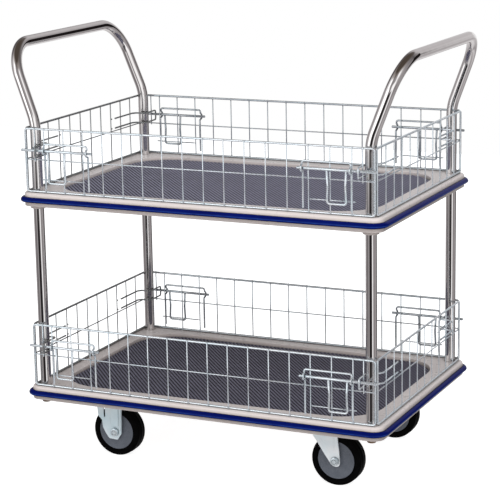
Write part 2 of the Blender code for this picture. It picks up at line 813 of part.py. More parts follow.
def build_swivel_caster(name, y):
    """Top plate with ball race, fork that turns under it, and the kingpin."""
    x = SWIVEL_X
    axle_x = x + SWIVEL_TRAIL
    plate_low = PLATE_TOP - PLATE_THICKNESS
    race_low = plate_low - RACE_DEPTH
    crown_top = race_low - GAP
    crown_low = crown_top - CROWN_THICKNESS
    plate = box(
        "plate",
        (x - PLATE_HALF_LENGTH, y - PLATE_HALF_WIDTH, plate_low),
        (x + PLATE_HALF_LENGTH, y + PLATE_HALF_WIDTH, PLATE_TOP),
    )
    race = cylinder("race", RACE_RADIUS, (x, y, race_low), (x, y, plate_low + WELD), HUB_SIDES)
    combine(plate, [race], "UNION")
    combine(plate, [kingpin_bore(x, y, race_low, PLATE_TOP)], "DIFFERENCE")
    finish(plate, f"swivel_plate_{name}", "bracket_zinc")
    outer = FORK_INNER + FORK_SHEET
    left = axle_x + SWIVEL_SIDE[0][0]
    right = axle_x + SWIVEL_SIDE[-1][0]
    crown = box("crown", (left, y - outer, crown_low), (right, y + outer, crown_top))
    ceiling = crown_top - WHEEL_RADIUS - WELD / 2
    outline = [(px, min(pz, ceiling)) for px, pz in SWIVEL_SIDE]
    combine(crown, fork_sides(outline, axle_x, y), "UNION")
    cutters = [axle_bore(axle_x, y), kingpin_bore(x, y, crown_low, crown_top)]
    combine(crown, cutters, "DIFFERENCE")
    finish(crown, f"swivel_fork_{name}", "bracket_zinc", (x, y, crown_top))
    head_top = crown_low - GAP
    head_low = head_top - KINGPIN_HEAD_DEPTH
    pin = cylinder("pin", KINGPIN_HEAD_RADIUS, (x, y, head_low), (x, y, head_top), HEX_SIDES)
    shank_top = (x, y, PLATE_TOP - KINGPIN_SINK)
    shank = cylinder("shank", KINGPIN_RADIUS, (x, y, head_top - WELD), shank_top, PIN_SIDES)
    combine(pin, [shank], "UNION")
    finish(pin, f"kingpin_{name}", "fastener_zinc", (x, y, head_top))
    build_wheel(name, axle_x, y)


clear_scene()
MATERIALS = make_materials()
for level, top, socket_depth in DECKS:
    build_deck(level, top, socket_depth)
    build_mat(level, top)
    build_bumper(level, top)
    for where, sy in Y_SIDES:
        build_side_panel(level, where, sy, top)
    for side, sx in X_SIDES:
        build_end_panel(level, side, sx, top)
        for where, sy in Y_SIDES:
            build_latch_bolt(f"{level}_{where}_{side}", sx, sy, top)
for side, sx in X_SIDES:
    build_handle(side, sx)
    for where, sy in Y_SIDES:
        build_plug(f"{where}_{side}", sx, sy)
for where, sy in Y_SIDES:
    build_fixed_caster(f"{where}_left", sy * CASTER_Y)
    build_swivel_caster(f"{where}_right", sy * CASTER_Y)
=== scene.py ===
"""Finished look of a two-deck platform trolley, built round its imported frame.

Metres, +Z up, floor at z = 0, X along the length (swivel casters at +X), -Y the front.
"""

import json
from math import ceil, cos, degrees, inf, pi, radians, sin, tan

import bmesh
import bpy
from mathutils import Matrix, Vector


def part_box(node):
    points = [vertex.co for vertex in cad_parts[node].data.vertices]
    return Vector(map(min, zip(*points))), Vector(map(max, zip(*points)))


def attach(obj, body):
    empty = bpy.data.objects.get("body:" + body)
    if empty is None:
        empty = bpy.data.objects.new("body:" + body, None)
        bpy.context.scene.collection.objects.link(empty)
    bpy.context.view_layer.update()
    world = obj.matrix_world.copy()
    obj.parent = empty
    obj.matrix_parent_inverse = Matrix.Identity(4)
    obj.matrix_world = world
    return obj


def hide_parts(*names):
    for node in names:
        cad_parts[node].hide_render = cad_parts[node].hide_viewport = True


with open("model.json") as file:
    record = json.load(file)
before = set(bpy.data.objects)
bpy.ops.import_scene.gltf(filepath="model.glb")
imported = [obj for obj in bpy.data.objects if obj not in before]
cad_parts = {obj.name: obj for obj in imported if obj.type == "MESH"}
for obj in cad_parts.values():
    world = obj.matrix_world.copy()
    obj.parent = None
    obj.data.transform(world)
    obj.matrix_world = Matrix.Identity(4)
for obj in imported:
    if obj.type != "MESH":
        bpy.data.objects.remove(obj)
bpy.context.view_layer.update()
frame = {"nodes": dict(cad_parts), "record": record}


def mm(*points):
    """Points of a section or a path, given in millimetres."""
    return [(a / 1000, b / 1000) for a, b in points]


BODY_OF = {
    node: body for body, nodes in frame["record"]["behaviour"]["bodies"].items() for node in nodes
}
SLOT_OF = {name: obj.data.materials[0].name for name, obj in frame["nodes"].items()}
LEVELS = ("lower", "upper")
SIDES = (("left", -1), ("right", 1))
FACES = (("front", -1), ("rear", 1))
PLUGS = [f"post_plug_{where}_{side}" for side, _ in SIDES for where, _ in FACES]

# ---- camera: the photograph's viewpoint
CAMERA_PLACE = (1.8141, -3.9026, 1.4547)
CAMERA_YAW = 24.896  # degrees turned from +Y towards -X
CAMERA_PITCH = 12.789  # degrees below the horizon
CAMERA_ROLL = -1.002
CAMERA_FOCUS = 1876.6  # focal length in pixels of a 500-wide picture
PICTURE_WIDTH = 500
SENSOR_WIDTH = 36

# ---- pressed deck
SHEET = 0.0016
SHOULDER = 0.006
DECK_DEPTH = 0.032
DECK_CORNER = 0.026
DECK_LIP = 0.01
LIP_CORNER = 0.004
RECESS_HALF = (0.393, 0.246)
RECESS_CORNER = 0.098
RECESS_DEPTH = 0.01
RECESS_FILLET = 0.0012
HEM_RADIUS = 0.0008
SOCKET_RADIUS = 0.018
SOCKET_ROOT = mm((-2.5, 0), (-0.8, 1.6), (0.8, 2))  # z from the sheet, radius
POST_HOLE = 0.0132
HOLE_LEAD = 0.0012  # rounded lead-in of the post holes

# ---- ribbed mat
MAT_CORNER = 0.0965
MAT_BASE = 0.0016
MAT_EDGE = 0.0005
RIB_PITCH = 0.00785
RIB_NORMAL = radians(41)
RIB_BORDER = 0.0012
RIB_SECTION = mm(  # across the rib, above the base
    (-2.7, -0.3), (-2.3, 1.2), (-1.6, 1.9), (1.6, 1.9), (2.3, 1.2), (2.7, -0.3),
)
RIB_END_LEAN = 0.5

# ---- bumper: out from the deck wall, down from its top
BUMPER_PROFILE = mm(
    (0.3, 0), (1.4, -0.05), (3.2, -0.3), (5, -0.8), (6.7, -1.7), (8.1, -2.9), (9.1, -4.3),
    (9.7, -5.7), (10, -7.2), (9.9, -8.4), (9.5, -9.5), (8.7, -10.5), (7.5, -11.4), (5.8, -12),
    (3.5, -12.4), (1.2, -12.5), (0.3, -12.5),
)

# ---- tubes and their plugs
TUBE_RADIUS = 0.0125
TUBE_WALL = 0.0015
TUBE_RIM = 0.0004  # rounding of the cut feet
TUBE_OPEN = 0.03  # how far up the hollow foot is modelled
KINK_HEIGHT = 0.8
KINK_RADIUS = 0.125
HANDLE_CORNER = 0.083
HANDLE_TOP_Y = 0.255
PLUG_HEAD = 0.0082
PLUG_CORNER = 0.0104
PLUG_CROWN = 0.001
PLUG_NECK = 0.01

# ---- mesh panels and latches
RAIL = 0.0025  # radius of the panel frames
BAR = 0.00135  # radius of the thin bars
BAR_TAIL = RAIL * 0.75  # how far a bar runs past the middle of a rail
FRAME_CORNER = 0.0065
PITCH = 0.05
MID_HEIGHT = 0.074
BAR_LIFT = 0.0034  # bars are welded on the outer side of the frame
END_BAR_LIFT = 0.0011
MID_LIFT = 0.0012  # the middle wire lies behind the side bars
SHORT_BAR_X = 0.3995
SHORT_BAR_FOOT = 0.004
BOLT_HEIGHT = 0.096
GUIDE_WIRE = 0.00225
GUIDE_X = (0.262, 0.3735)
GUIDE_LEG = mm(  # y, and z above the panel's foot
    (285, 8.5), (285, 87), (296, 91.5), (296, 99.5), (289, 105), (289, 112),
)
GUIDE_BENDS = (0.002, 0.003, 0.003, 0.003, 0.005, 0.005, 0.003, 0.003, 0.003, 0.002)
CROSS_HEIGHT = 0.0285
CROSS_X = (0.278, 0.3825)
CROSS_Y = 0.2838
HASP_WIRE = 0.002
HASP_HEIGHTS = (0.081, 0.105)
HASP_PATH = mm((424.5, 140), (424.5, 228), (416.5, 238), (393, 238), (393, 296.3))
HASP_BENDS = (0.006, 0.004, 0.006, 0.005, 0.005, 0.006, 0.004, 0.006)
ROD = 0.003
PULL_WIRE = 0.0024
PULL_X = (0.319, 0.3635)
PULL_WAIST = 0.002
PULL_BOTTOM = 0.022
PULL_BENDS = (0.03, 0.006, 0.006, 0.03)

# ---- welds: size, then shape
RAIL_WELD = (0.002, (1, 0.8, 0.9))
RAIL_WELD_OUT = 0.0019
MID_WELD = (0.0016,)
MID_WELD_OUT = 0.0022
CORNER_WELD = (0.0022,)
GUIDE_WELD = (0.0021, (1, 0.7, 1.2))
CROSS_WELD = (0.0017,)
END_WELD = (0.0019, (0.8, 1, 0.9))
END_WELD_IN = 0.0016
HASP_WELD = (0.0018, (0.8, 1.1, 1))
PULL_WELD = (0.0034, (1, 0.85, 0.75))

# ---- casters
FORK_INNER = 0.0206
FORK_SHEET = 0.0025
SHEET_EDGE = 0.0006
PLATE_SHEET = 0.003
PLATE_CORNER = 0.006
PLATE_EDGE = 0.0007
FIXED_SIDE = mm(  # outlines in x and z from the axle
    (-48, 106), (-46.6, 56), (-44.5, 35), (-35, 26), (-32.9, 8), (-25.6, -6), (-16.5, -17.8),
    (5.4, -19.2), (15.8, -4), (17.5, 20), (20, 106),
)
FIXED_FIELD = mm((-11.5, 101), (-12, 33), (-10.5, 13.5), (8.5, 13.5), (10, 101))
FIXED_EDGE = mm((13, 100), (11.8, 6), (15.5, 6), (17.2, 20), (19, 100))
FIXED_SLOT = mm((-30, 60), (-29.6, 36), (-27.6, 31.8), (-25.8, 36), (-26.2, 60))
FIXED_SLOT_REACH = 0.035
FIXED_BEND = 0.003
FIXED_BEND_X = (-0.0474, 0.0196)
SWIVEL_SIDE = mm(
    (-68, 96), (-61, 65), (-42.8, 39), (-25.8, 13), (-12.6, -5), (-6.5, -11.8), (1, -14),
    (8, -12.5), (11.2, -7), (10, 20), (6, 56), (0, 96),
)
SWIVEL_FIELD = mm((-44, 87), (-33, 47), (-15, 19), (1, 19), (-4, 87))
RACE_RIM = mm((0.5, 33.5), (-0.6, 31.2), (-1.6, 30), (-3, 29.3))
RACE_FOOT = mm((2.2, 29), (0.8, 28.4), (0, 27), (0, 6.6))
PIN_HOLE = 0.0066
FORK_CROWN = 0.003
FORK_BEND = 0.0045
FORK_SKIRT = -0.008
FORK_BACK = 0.0106  # the crown's rear edge, short of the side plates' outline
CUP_SECTION = mm(  # the fork's race cup, below its top
    (-0.4, 26.2), (-2.6, 20.2), (-3.3, 19.8), (-3.3, 6.6), (-0.4, 6.6),
)
KINGPIN_HEAD = 0.006
KINGPIN_SHANK = 0.0057
TYRE_INNER = 0.0444
TYRE_SHOULDER = mm((-0.4, -7.5), (0, -9.2))  # from the outer corner
TYRE_FACE = mm((0, 3), (-0.7, 2.6), (-0.7, 1.2), (-0.1, 0.8), (-0.2, 0))
HUB_FACE = mm(  # half width and radius, from the bore outwards
    (19.9, 7.8), (19.9, 12.8), (19.3, 13.8), (18.3, 14.2), (15.8, 14.7), (15, 15.6), (15, 18.5),
    (15.5, 23), (15.8, 30), (15.8, 36), (16.1, 38), (16.7, 39.2), (17, 40), (17, 43.4),
    (16.3, 44.1),
)
SLEEVE_RADIUS = 0.0075
SLEEVE_BORE = 0.0055
SLEEVE_EDGE = 0.0004
AXLE_RADIUS = 0.005
AXLE_HEAD = 0.0065
AXLE_HEAD_CROWN = 0.0006
HEX_CORNER = 0.01
NUT_BORE = 0.0052
THREAD_PITCH = 0.0008
THREAD_ROOT = 0.0045

# ---- fineness
CORNER_STEPS = 12
OUTLINE_STEP = 15  # degrees a step of a rounded outline turns
HEX_STEPS = 6
BAR_FACETS = 10
WIRE_FACETS = 12
RAIL_FACETS = 14
WHEEL_FACETS = 96
HUB_FACETS = 64
TURNED_FACETS = 40
PIN_FACETS = 32


# ==== mesh helpers ====

def loft(bm, rings, ends="cap"):
    """Skins closed rings of equal count, which are capped or joined end to end."""
    loops = [[bm.verts.new(p) for p in ring] for ring in rings]
    pairs = list(zip(loops, loops[1:]))
    if ends == "join":
        pairs.append((loops[-1], loops[0]))
    else:
        bm.faces.new(list(reversed(loops[0])))
        bm.faces.new(loops[-1])
    for a, b in pairs:
        n = len(a)
        for i in range(n):
            j = (i + 1) % n
            bm.faces.new((a[i], a[j], b[j], b[i]))


def round_rect(half, radius, z, grow=0, steps=CORNER_STEPS):
    """Rounded rectangle about the Z axis, grown on every side."""
    half_x, half_y, radius = half[0] + grow, half[1] + grow, radius + grow
    points = []
    for corner, (sx, sy) in enumerate(((1, 1), (-1, 1), (-1, -1), (1, -1))):
        for step in range(steps + 1):
            a = pi / 2 * (corner + step / steps)
            x = sx * (half_x - radius) + radius * cos(a)
            points.append((x, sy * (half_y - radius) + radius * sin(a), z))
    return points


def arc(centre, radius, start, end, steps):
    """Points of an arc in a plane, degrees."""
    turns = [radians(start + (end - start) * i / steps) for i in range(steps + 1)]
    return [(centre[0] + radius * cos(a), centre[1] + radius * sin(a)) for a in turns]


def filleted(points, radii, step_angle):
    """Open path whose inner corners are rounded, one radius for each."""
    points = [Vector(p) for p in points]
    path = [points[0]]
    for i in range(1, len(points) - 1):
        corner = points[i]
        back = (points[i - 1] - corner).normalized()
        ahead = (points[i + 1] - corner).normalized()
        turn = pi - back.angle(ahead)
        radius = radii[i - 1]
        if radius <= 0 or turn < 0.01:
            path.append(corner)
            continue
        tangent = radius * tan(turn / 2)
        centre = corner + (back + ahead).normalized() * (radius / cos(turn / 2))
        start = corner + back * tangent - centre
        end = corner + ahead * tangent - centre
        count = max(3, ceil(degrees(turn) / step_angle))
        for step in range(count + 1):
            part = step / count
            low = sin((1 - part) * turn) / sin(turn)
            high = sin(part * turn) / sin(turn)
            path.append(centre + start * low + end * high)
    path.append(points[-1])
    return path


def around(outline):
    """Each point of a closed outline, between the one before it and the one after it."""
    return zip(outline[-1:] + outline[:-1], outline, outline[1:] + outline[:1])


def placed(points, centre, radius, ceiling=inf):
    """Outline in x and z about an axle, cut off at a ceiling, its corners rounded."""
    points = [Vector((centre.x + x, min(centre.z + z, ceiling), 0)) for x, z in points]
    out = []
    for a, corner, b in around(points):
        turn = pi - (a - corner).angle(b - corner)
        room = 0.48 * min((a - corner).length, (b - corner).length)
        fit = min(radius, room / max(tan(turn / 2), 1e-6))
        out += [p.to_2d() for p in filleted([a, corner, b], [fit], OUTLINE_STEP)[1:-1]]
    return out


def inset(outline, distance):
    """Closed outline moved inwards, for an outline that runs either way round."""
    turn = 1 if sum(p.cross(b) for _, p, b in around(outline)) > 0 else -1
    out = []
    for a, p, b in around(outline):
        one = (p - a).normalized()
        two = (b - p).normalized()
        normal = Vector((-(one + two).y, (one + two).x)).normalized() * turn
        lean = max(0.5, normal.dot(Vector((-one.y, one.x)) * turn))
        out.append(p + normal * (distance / lean))
    return out


def skin_y(bm, rows):
    """Skins outlines in x and z, each at its y."""
    loft(bm, [[(p.x, y, p.y) for p in line] for line, y in rows])


def sheet_side(bm, outline, faces):
    """A flat plate between two Y faces with rounded edges, outline in x and z."""
    y_low, y_high = min(faces), max(faces)
    edge = SHEET_EDGE
    inner = inset(outline, edge)
    mid = inset(outline, edge * 0.3)
    skin_y(bm, (
        (inner, y_low), (mid, y_low + edge * 0.3), (outline, y_low + edge),
        (outline, y_high - edge), (mid, y_high - edge * 0.3), (inner, y_high),
    ))


def pressed_pad(bm, outline, y, out, height, slope):
    """A raised pressing on the face of a plate at y, standing out towards out (+1 or -1)."""
    rows = (
        (inset(outline, -slope * 0.3), -0.0004), (outline, height * 0.12),
        (inset(outline, slope * 0.45), height * 0.62),
        (inset(outline, slope * 0.8), height * 0.93), (inset(outline, slope * 1.3), height),
    )
    skin_y(bm, [(line, y + out * rise) for line, rise in rows])


def sweep(bm, path, radius, facets, closed=False, dome=0.3, wall=0):
    """Round wire along a path, its open ends domed, or a tube with open feet if it has a wall."""
    path = [Vector(p) for p in path]
    n = len(path)
    normal = None
    stations = []
    for i, point in enumerate(path):
        before = path[i - 1] if i or closed else point
        after = path[(i + 1) % n] if i < n - 1 or closed else point
        tangent = (after - before).normalized()
        normal = tangent.orthogonal() if normal is None else normal
        normal = (normal - tangent * normal.dot(tangent)).normalized()
        stations.append((point, tangent, normal, tangent.cross(normal)))
    turns = [2 * pi * k / facets for k in range(facets)]

    def circle(station, shift, r):
        point, tangent, across, up = station
        centre = point + tangent * shift
        return [centre + (across * cos(a) + up * sin(a)) * r for a in turns]

    loops = [circle(station, 0, radius) for station in stations]
    if wall:
        inner = radius - wall
        rim = [
            (TUBE_OPEN, inner), (TUBE_RIM, inner), (0, inner + TUBE_RIM),
            (0, radius - TUBE_RIM), (TUBE_RIM, radius),
        ]
        loops = [circle(stations[0], d, r) for d, r in rim] + loops[1:-1]
        loops += [circle(stations[-1], -d, r) for d, r in reversed(rim)]
    elif not closed:
        caps = [
            (sin(radians(a)) * dome * radius, cos(radians(a)) * radius)
            for a in (30, 60, 78)
        ]
        loops = [circle(stations[0], -d, r) for d, r in reversed(caps)] + loops
        loops += [circle(stations[-1], d, r) for d, r in caps]
    loft(bm, loops, "join" if closed else "cap")


def bar(bm, a, b):
    """Thin straight bar of the mesh."""
    sweep(bm, [a, b], BAR, BAR_FACETS)


def turned(bm, profile, place, facets, ends="cap"):
    """Turns (height, radius) about the local Z of place."""
    turns = [2 * pi * k / facets for k in range(facets)]
    loft(bm, [
        [place @ Vector((radius * cos(a), radius * sin(a), height)) for a in turns]
        for height, radius in profile
    ], ends)


def mirrored(face):
    """Closed profile of a turned piece from the half that faces outwards."""
    return [(-a, r) for a, r in face] + list(reversed(face))


def hexagon(bm, place, corner, height, bore=0, crown=0):
    """Chamfered hexagon along the local Z of place, with a bore or a slightly crowned top."""
    flat = corner * cos(pi / 6)
    face = flat * 0.95
    lean = tan(radians(30))

    def ring(z, r=face, chamfer=0):
        out = []
        for k in range(6 * HEX_STEPS):
            a = 2 * pi * k / (6 * HEX_STEPS)
            if chamfer:
                r = flat / cos((a + pi / 6) % (pi / 3) - pi / 6)
            out.append(place @ Vector((r * cos(a), r * sin(a), z + chamfer * (r - face) * lean)))
        return out

    rings = [ring(0), ring(0, chamfer=1), ring(height, chamfer=-1), ring(height)]
    if bore:
        rings += [ring(height, bore * 1.12), ring(height - bore * 0.12, bore), ring(0, bore)]
    else:
        rings += [ring(height + crown * 0.7, face * 0.6), ring(height + crown, face * 0.2)]
    loft(bm, rings, "join" if bore else "cap")


def weld(bm, point, size, along=(1, 1, 1)):
    """Small rounded weld where two wires touch."""
    shape = Matrix.Diagonal((*(part * size for part in along), 1))
    place = Matrix.Translation(point) @ shape
    bmesh.ops.create_icosphere(bm, subdivisions=2, radius=1, matrix=place)


def upright(x, y, z=0, flipped=False):
    """Place whose local Z runs up, or down if it is flipped."""
    place = Matrix.Translation((x, y, z))
    return place @ Matrix.Rotation(pi, 4, "X") if flipped else place


def axis_y(centre, out=1):
    """Place whose local Z runs along Y, outwards or inwards."""
    return Matrix.Translation(centre) @ Matrix.Rotation(radians(-90 * out), 4, "X")


def shade(bm, smooth):
    """Smooth shading that stops at edges sharper than smooth, in degrees."""
    for face in bm.faces:
        face.smooth = True
    for edge in bm.edges:
        edge.smooth = edge.calc_face_angle(pi) < radians(smooth)


def linked(name, data):
    """A new object in the scene."""
    obj = bpy.data.objects.new(name, data)
    bpy.context.scene.collection.objects.link(obj)
    return obj


def to_object(name, bm, smooth=35):
    """An object from a bmesh, which it frees."""
    bmesh.ops.remove_doubles(bm, verts=bm.verts, dist=0.0000005)
    bmesh.ops.recalc_face_normals(bm, faces=bm.faces)
    shade(bm, smooth)
    mesh = bpy.data.meshes.new(name)
    bm.to_mesh(mesh)
    bm.free()
    return linked(name, mesh)


def piece(node, bm, smooth, weighted=False, cut=None, add=None):
    """Turns a bmesh into the finished piece that stands for a CAD node."""
    obj = to_object(node + "_finished", bm, smooth)
    tools = []
    for tool, operation in ((add, "UNION"), (cut, "DIFFERENCE")):
        if tool:
            tools.append(to_object(operation, tool))
            mod = obj.modifiers.new(operation, "BOOLEAN")
            mod.operation = operation
            mod.solver = "EXACT"
            mod.use_self = True
            mod.object = tools[-1]
    if tools:
        bpy.context.view_layer.update()
        graph = bpy.context.evaluated_depsgraph_get()
        mesh = bpy.data.meshes.new_from_object(obj.evaluated_get(graph))
        obj.modifiers.clear()
        obj.data = mesh
        for tool in tools:
            bpy.data.objects.remove(tool)
        clean = bmesh.new()
        clean.from_mesh(mesh)
        shade(clean, smooth)
        clean.to_mesh(mesh)
        clean.free()
    if weighted:
        mod = obj.modifiers.new("even shading", "WEIGHTED_NORMAL")
        mod.keep_sharp = True
    obj.data.materials.clear()
    obj.data.materials.append(SPECIAL.get(node) or FINISHES[SLOT_OF[node]])
    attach(obj, BODY_OF[node])
    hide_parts(node)
    return obj


# ==== materials ====

class Nodes:
    """Short ways to add shader nodes to one tree."""

    def __init__(self, tree):
        self.tree = tree

    def add(self, kind, inputs=None, **settings):
        """A node with its settings, and its inputs set or linked."""
        node = self.tree.nodes.new("ShaderNode" + kind)
        for key, value in settings.items():
            setattr(node, key, value)
        for key, value in (inputs or {}).items():
            if isinstance(value, bpy.types.NodeSocket):
                self.tree.links.new(value, node.inputs[key])
            else:
                node.inputs[key].default_value = value
        return node

    def coords(self, kind="Object", stretch=None):
        """Texture coordinates, in metres for Object."""
        out = self.add("TexCoord").outputs[kind]
        if stretch:
            out = self.add("VectorMath", {0: out, 1: stretch}, operation="MULTIPLY").outputs[0]
        return out

    def remap(self, value, low, high, to_low=0, to_high=1, smooth=False):
        """Clamped map from one range to another."""
        inputs = {
            "Value": value, "From Min": low, "From Max": high, "To Min": to_low, "To Max": to_high,
        }
        kind = "SMOOTHSTEP" if smooth else "LINEAR"
        return self.add("MapRange", inputs, interpolation_type=kind).outputs[0]

    def math(self, operation, a, b=0):
        return self.add("Math", {0: a, 1: b}, operation=operation).outputs[0]

    def times(self, a, b):
        return self.math("MULTIPLY", a, b)

    def mix(self, factor, a, b):
        """Mix of two colours."""
        a = (*a, 1) if isinstance(a, tuple) else a
        b = (*b, 1) if isinstance(b, tuple) else b
        return self.add("Mix", {0: factor, 6: a, 7: b}, data_type="RGBA").outputs[2]

    def ramp(self, value, stops):
        """Colour ramp of (position, colour)."""
        node = self.add("ValToRGB", {0: value})
        node.color_ramp.interpolation = "LINEAR"
        elements = node.color_ramp.elements
        while len(elements) < len(stops):
            elements.new(0.5)
        for element, (position, colour) in zip(elements, stops):
            element.position = position
            element.color = (*colour, 1)
        return node.outputs[0]


class Finish(Nodes):
    """Principled material laid down in coats; fixed sets constants on the shader's own sockets."""

    def __init__(self, slot, fixed):
        self.material = bpy.data.materials.new(slot + "_finish")
        self.material.use_nodes = True
        super().__init__(self.material.node_tree)
        self.shader = self.tree.nodes["Principled BSDF"]
        for key, value in fixed.items():
            self.shader.inputs[key].default_value = value
        self.place = self.coords()

    def noise(self, scale, detail, rough=0.55, vector=None):
        """Noise value, scale in cycles per metre."""
        inputs = {"Vector": vector or self.place, "Scale": scale, "Detail": detail}
        return self.add("TexNoise", {**inputs, "Roughness": rough}).outputs[0]

    def patches(self, scale, detail, low, high, to_low=0, to_high=1, rough=0.55, vector=None):
        """Noise mapped from one range to another."""
        return self.remap(self.noise(scale, detail, rough, vector), low, high, to_low, to_high)

    def height(self):
        """From 0 at the foot of the piece to 1 at its top."""
        return self.add("SeparateXYZ", {0: self.coords("Generated")}).outputs[2]

    def folds(self, low, high, to_low=0, to_high=1):
        """Pointiness, low in hollows and high on outer edges, mapped to another range."""
        return self.remap(self.add("NewGeometry").outputs["Pointiness"], low, high, to_low, to_high)

    def contact_shade(self, reach):
        """From 1 where another surface is within reach, in metres, to 0 in the open; a mask for
        painted shade where parts meet.
        """
        node = self.add("AmbientOcclusion", {"Distance": reach}, samples=8)
        return self.remap(node.outputs["AO"], 0.35, 0.85, 1, 0)

    def coat(self, amount, colour, under=None):
        """A coat over the ones before, or over a first colour; a tuple gives it in patches."""
        amount = self.patches(*amount) if isinstance(amount, tuple) else amount
        self.colour = self.mix(amount, under or self.colour, colour)

    def grain(self, scale, detail, depth, vector=None, under=None):
        """Bump of a real depth, in metres."""
        inputs = {"Height": self.noise(scale, detail, vector=vector), "Distance": depth}
        if under is not None:
            inputs["Normal"] = under
        return self.add("Bump", inputs).outputs[0]

    def done(self, roughness, grain):
        """The material, its coats and surface wired to the shader."""
        roughness = self.patches(*roughness) if isinstance(roughness, tuple) else roughness
        grain = self.grain(*grain) if isinstance(grain, tuple) else grain
        sockets = {"Base Color": self.colour, "Roughness": roughness, "Normal": grain}
        for key, value in sockets.items():
            self.tree.links.new(value, self.shader.inputs[key])
        return self.material


def enamel_cream():
    """Glossy stove enamel: slight orange peel, faint mottling, painted shade in the folds, under
    the bumper and where parts meet, paler wear on outer edges.
    """
    gloss = {"Coat Weight": 0.35, "Coat Roughness": 0.12, "Specular IOR Level": 0.45}
    paint = Finish("enamel_cream", gloss)
    paint.coat((9, 4, 0.35, 0.65), (0.67, 0.61, 0.585), (0.63, 0.57, 0.545))
    paint.coat((240, 5, 0.56, 0.72, 0, 0.16, 0.7), (0.5, 0.43, 0.37))
    # Painted shade: darker where pointiness marks folds and hollows.
    paint.coat(paint.folds(0.44, 0.495, 0.45, 0), (0.36, 0.29, 0.24))
    # Painted shade: darker towards the bottom of the deck, on the strip under the bumper.
    paint.coat(paint.remap(paint.height(), 0.26, 0.46, 0.55, 0, True), (0.27, 0.25, 0.25))
    # Painted shade where the deck meets other parts, from ambient occlusion.
    paint.coat(paint.times(paint.contact_shade(0.006), 0.55), (0.24, 0.2, 0.18))
    rub = paint.times(paint.folds(0.52, 0.6), paint.patches(55, 5, 0.48, 0.62, 0, 0.3))
    paint.coat(rub, (0.8, 0.77, 0.73))
    return paint.done((70, 5, 0.3, 0.7, 0.24, 0.4, 0.6), (620, 2, 0.00006))


def mat_rubber(slot, tone):
    """Ribbed rubber: paler scuffed rib tops over painted shade down the rib sides and in the
    grooves, fine matt grain; a tone below 1 darkens it as painted shade.
    """
    gloss = {"Specular IOR Level": 0.45 * tone, "Sheen Weight": 0.08 * tone, "Sheen Roughness": 0.5}
    rubber = Finish(slot, gloss)
    scuff = rubber.patches(28, 5, 0.3, 0.7, 0.8, 1.10, 0.65)
    # Colour by height: the rib tops are paler where scuffed, and the dark low parts paint the
    # grooves' shade.
    tops_and_groove_shade = rubber.times(rubber.remap(rubber.height(), 0.5, 0.97), scuff)
    pale, gritty = (
        tuple(tone * part for part in colour)
        for colour in ((0.206, 0.2, 0.278), (0.25, 0.24, 0.27))
    )
    rubber.coat(tops_and_groove_shade, pale, (0.012, 0.011, 0.018))
    rubber.coat((1500, 2, 0.55, 0.75, 0, 0.35), gritty)
    return rubber.done((300, 3, 0.3, 0.7, 0.5, 0.72), (1900, 2, 0.0001))


def pvc_blue():
    """Extruded PVC: drawn lines along it, a painted highlight line along its nose, painted shade at
    top and bottom.
    """
    vinyl = Finish("pvc_blue", {"Specular IOR Level": 0.05})
    vinyl.coat((14, 4, 0.3, 0.7), (0.0008, 0.0062, 0.112), (0.0004, 0.004, 0.085))
    height = vinyl.height()
    # Painted highlight: a paler band round the bumper's nose, broken up by noise.
    line = vinyl.remap(height, 0.3, 0.4, 0, 1, True)
    line = vinyl.times(line, vinyl.remap(height, 0.44, 0.54, 1, 0, True))
    painted_highlight = vinyl.times(line, vinyl.patches(40, 5, 0.35, 0.65, 0.35, 0.95))
    vinyl.coat(painted_highlight, (0.012, 0.052, 0.26))
    # Painted shade: near black towards the bottom, where the bumper faces down, and at the top edge
    # against the deck wall.
    for start, end in ((0.22, 0.08), (0.968, 0.992)):
        vinyl.coat(vinyl.remap(height, start, end, 0, 0.85), (0.0004, 0.001, 0.012))
    drawn = vinyl.coords(stretch=(0.05, 0.05, 1))
    rough = vinyl.patches(900, 3, 0.3, 0.7, 0.14, 0.24, vector=drawn)
    return vinyl.done(rough, (1400, 2, 0.000008, drawn))


def tube_chrome():
    """Bright chrome on drawn tube: slow waviness, fine polishing marks, faint haze."""
    chrome = Finish("tube_chrome", {"Metallic": 1})
    haze = chrome.noise(36, 5, 0.6)
    chrome.coat(chrome.remap(haze, 0.3, 0.7), (0.74, 0.715, 0.71), (0.8, 0.785, 0.78))
    waves = chrome.grain(22, 1, 0.00005)
    drawn = chrome.coords(stretch=(1, 1, 0.12))
    rough = chrome.remap(haze, 0.35, 0.7, 0.03, 0.07)
    return chrome.done(rough, (1600, 2, 0.000001, drawn, waves))


def zinc(slot, metallic, tones, roughness, grain, spotting=0.35):
    """Electroplated zinc with a bluish passivation: cloudy tone, small spots, painted shade in
    hollows and where parts meet.
    """
    bright, dull, blue = tones
    plate = Finish(slot, {"Metallic": metallic})
    plate.coat((60, 4, 0.3, 0.7, 0, 1, 0.6), dull, bright)
    plate.coat((17, 2, 0.4, 0.66, 0, 0.7), blue)
    plate.coat((700, 3, 0.66, 0.76, 0, spotting, 0.7), (0.34, 0.37, 0.4))
    # Painted shade: darker where pointiness marks creases and hollows.
    plate.coat(plate.folds(0.4, 0.485, 0.75, 0), (0.07, 0.1, 0.12))
    # Painted shade where the piece meets other parts, from ambient occlusion.
    plate.coat(plate.times(plate.contact_shade(0.005), 0.85), (0.045, 0.065, 0.075))
    rough = (210, 4, 0.3, 0.7, roughness - 0.07, roughness + 0.08)
    return plate.done(rough, (1700, 3, grain))


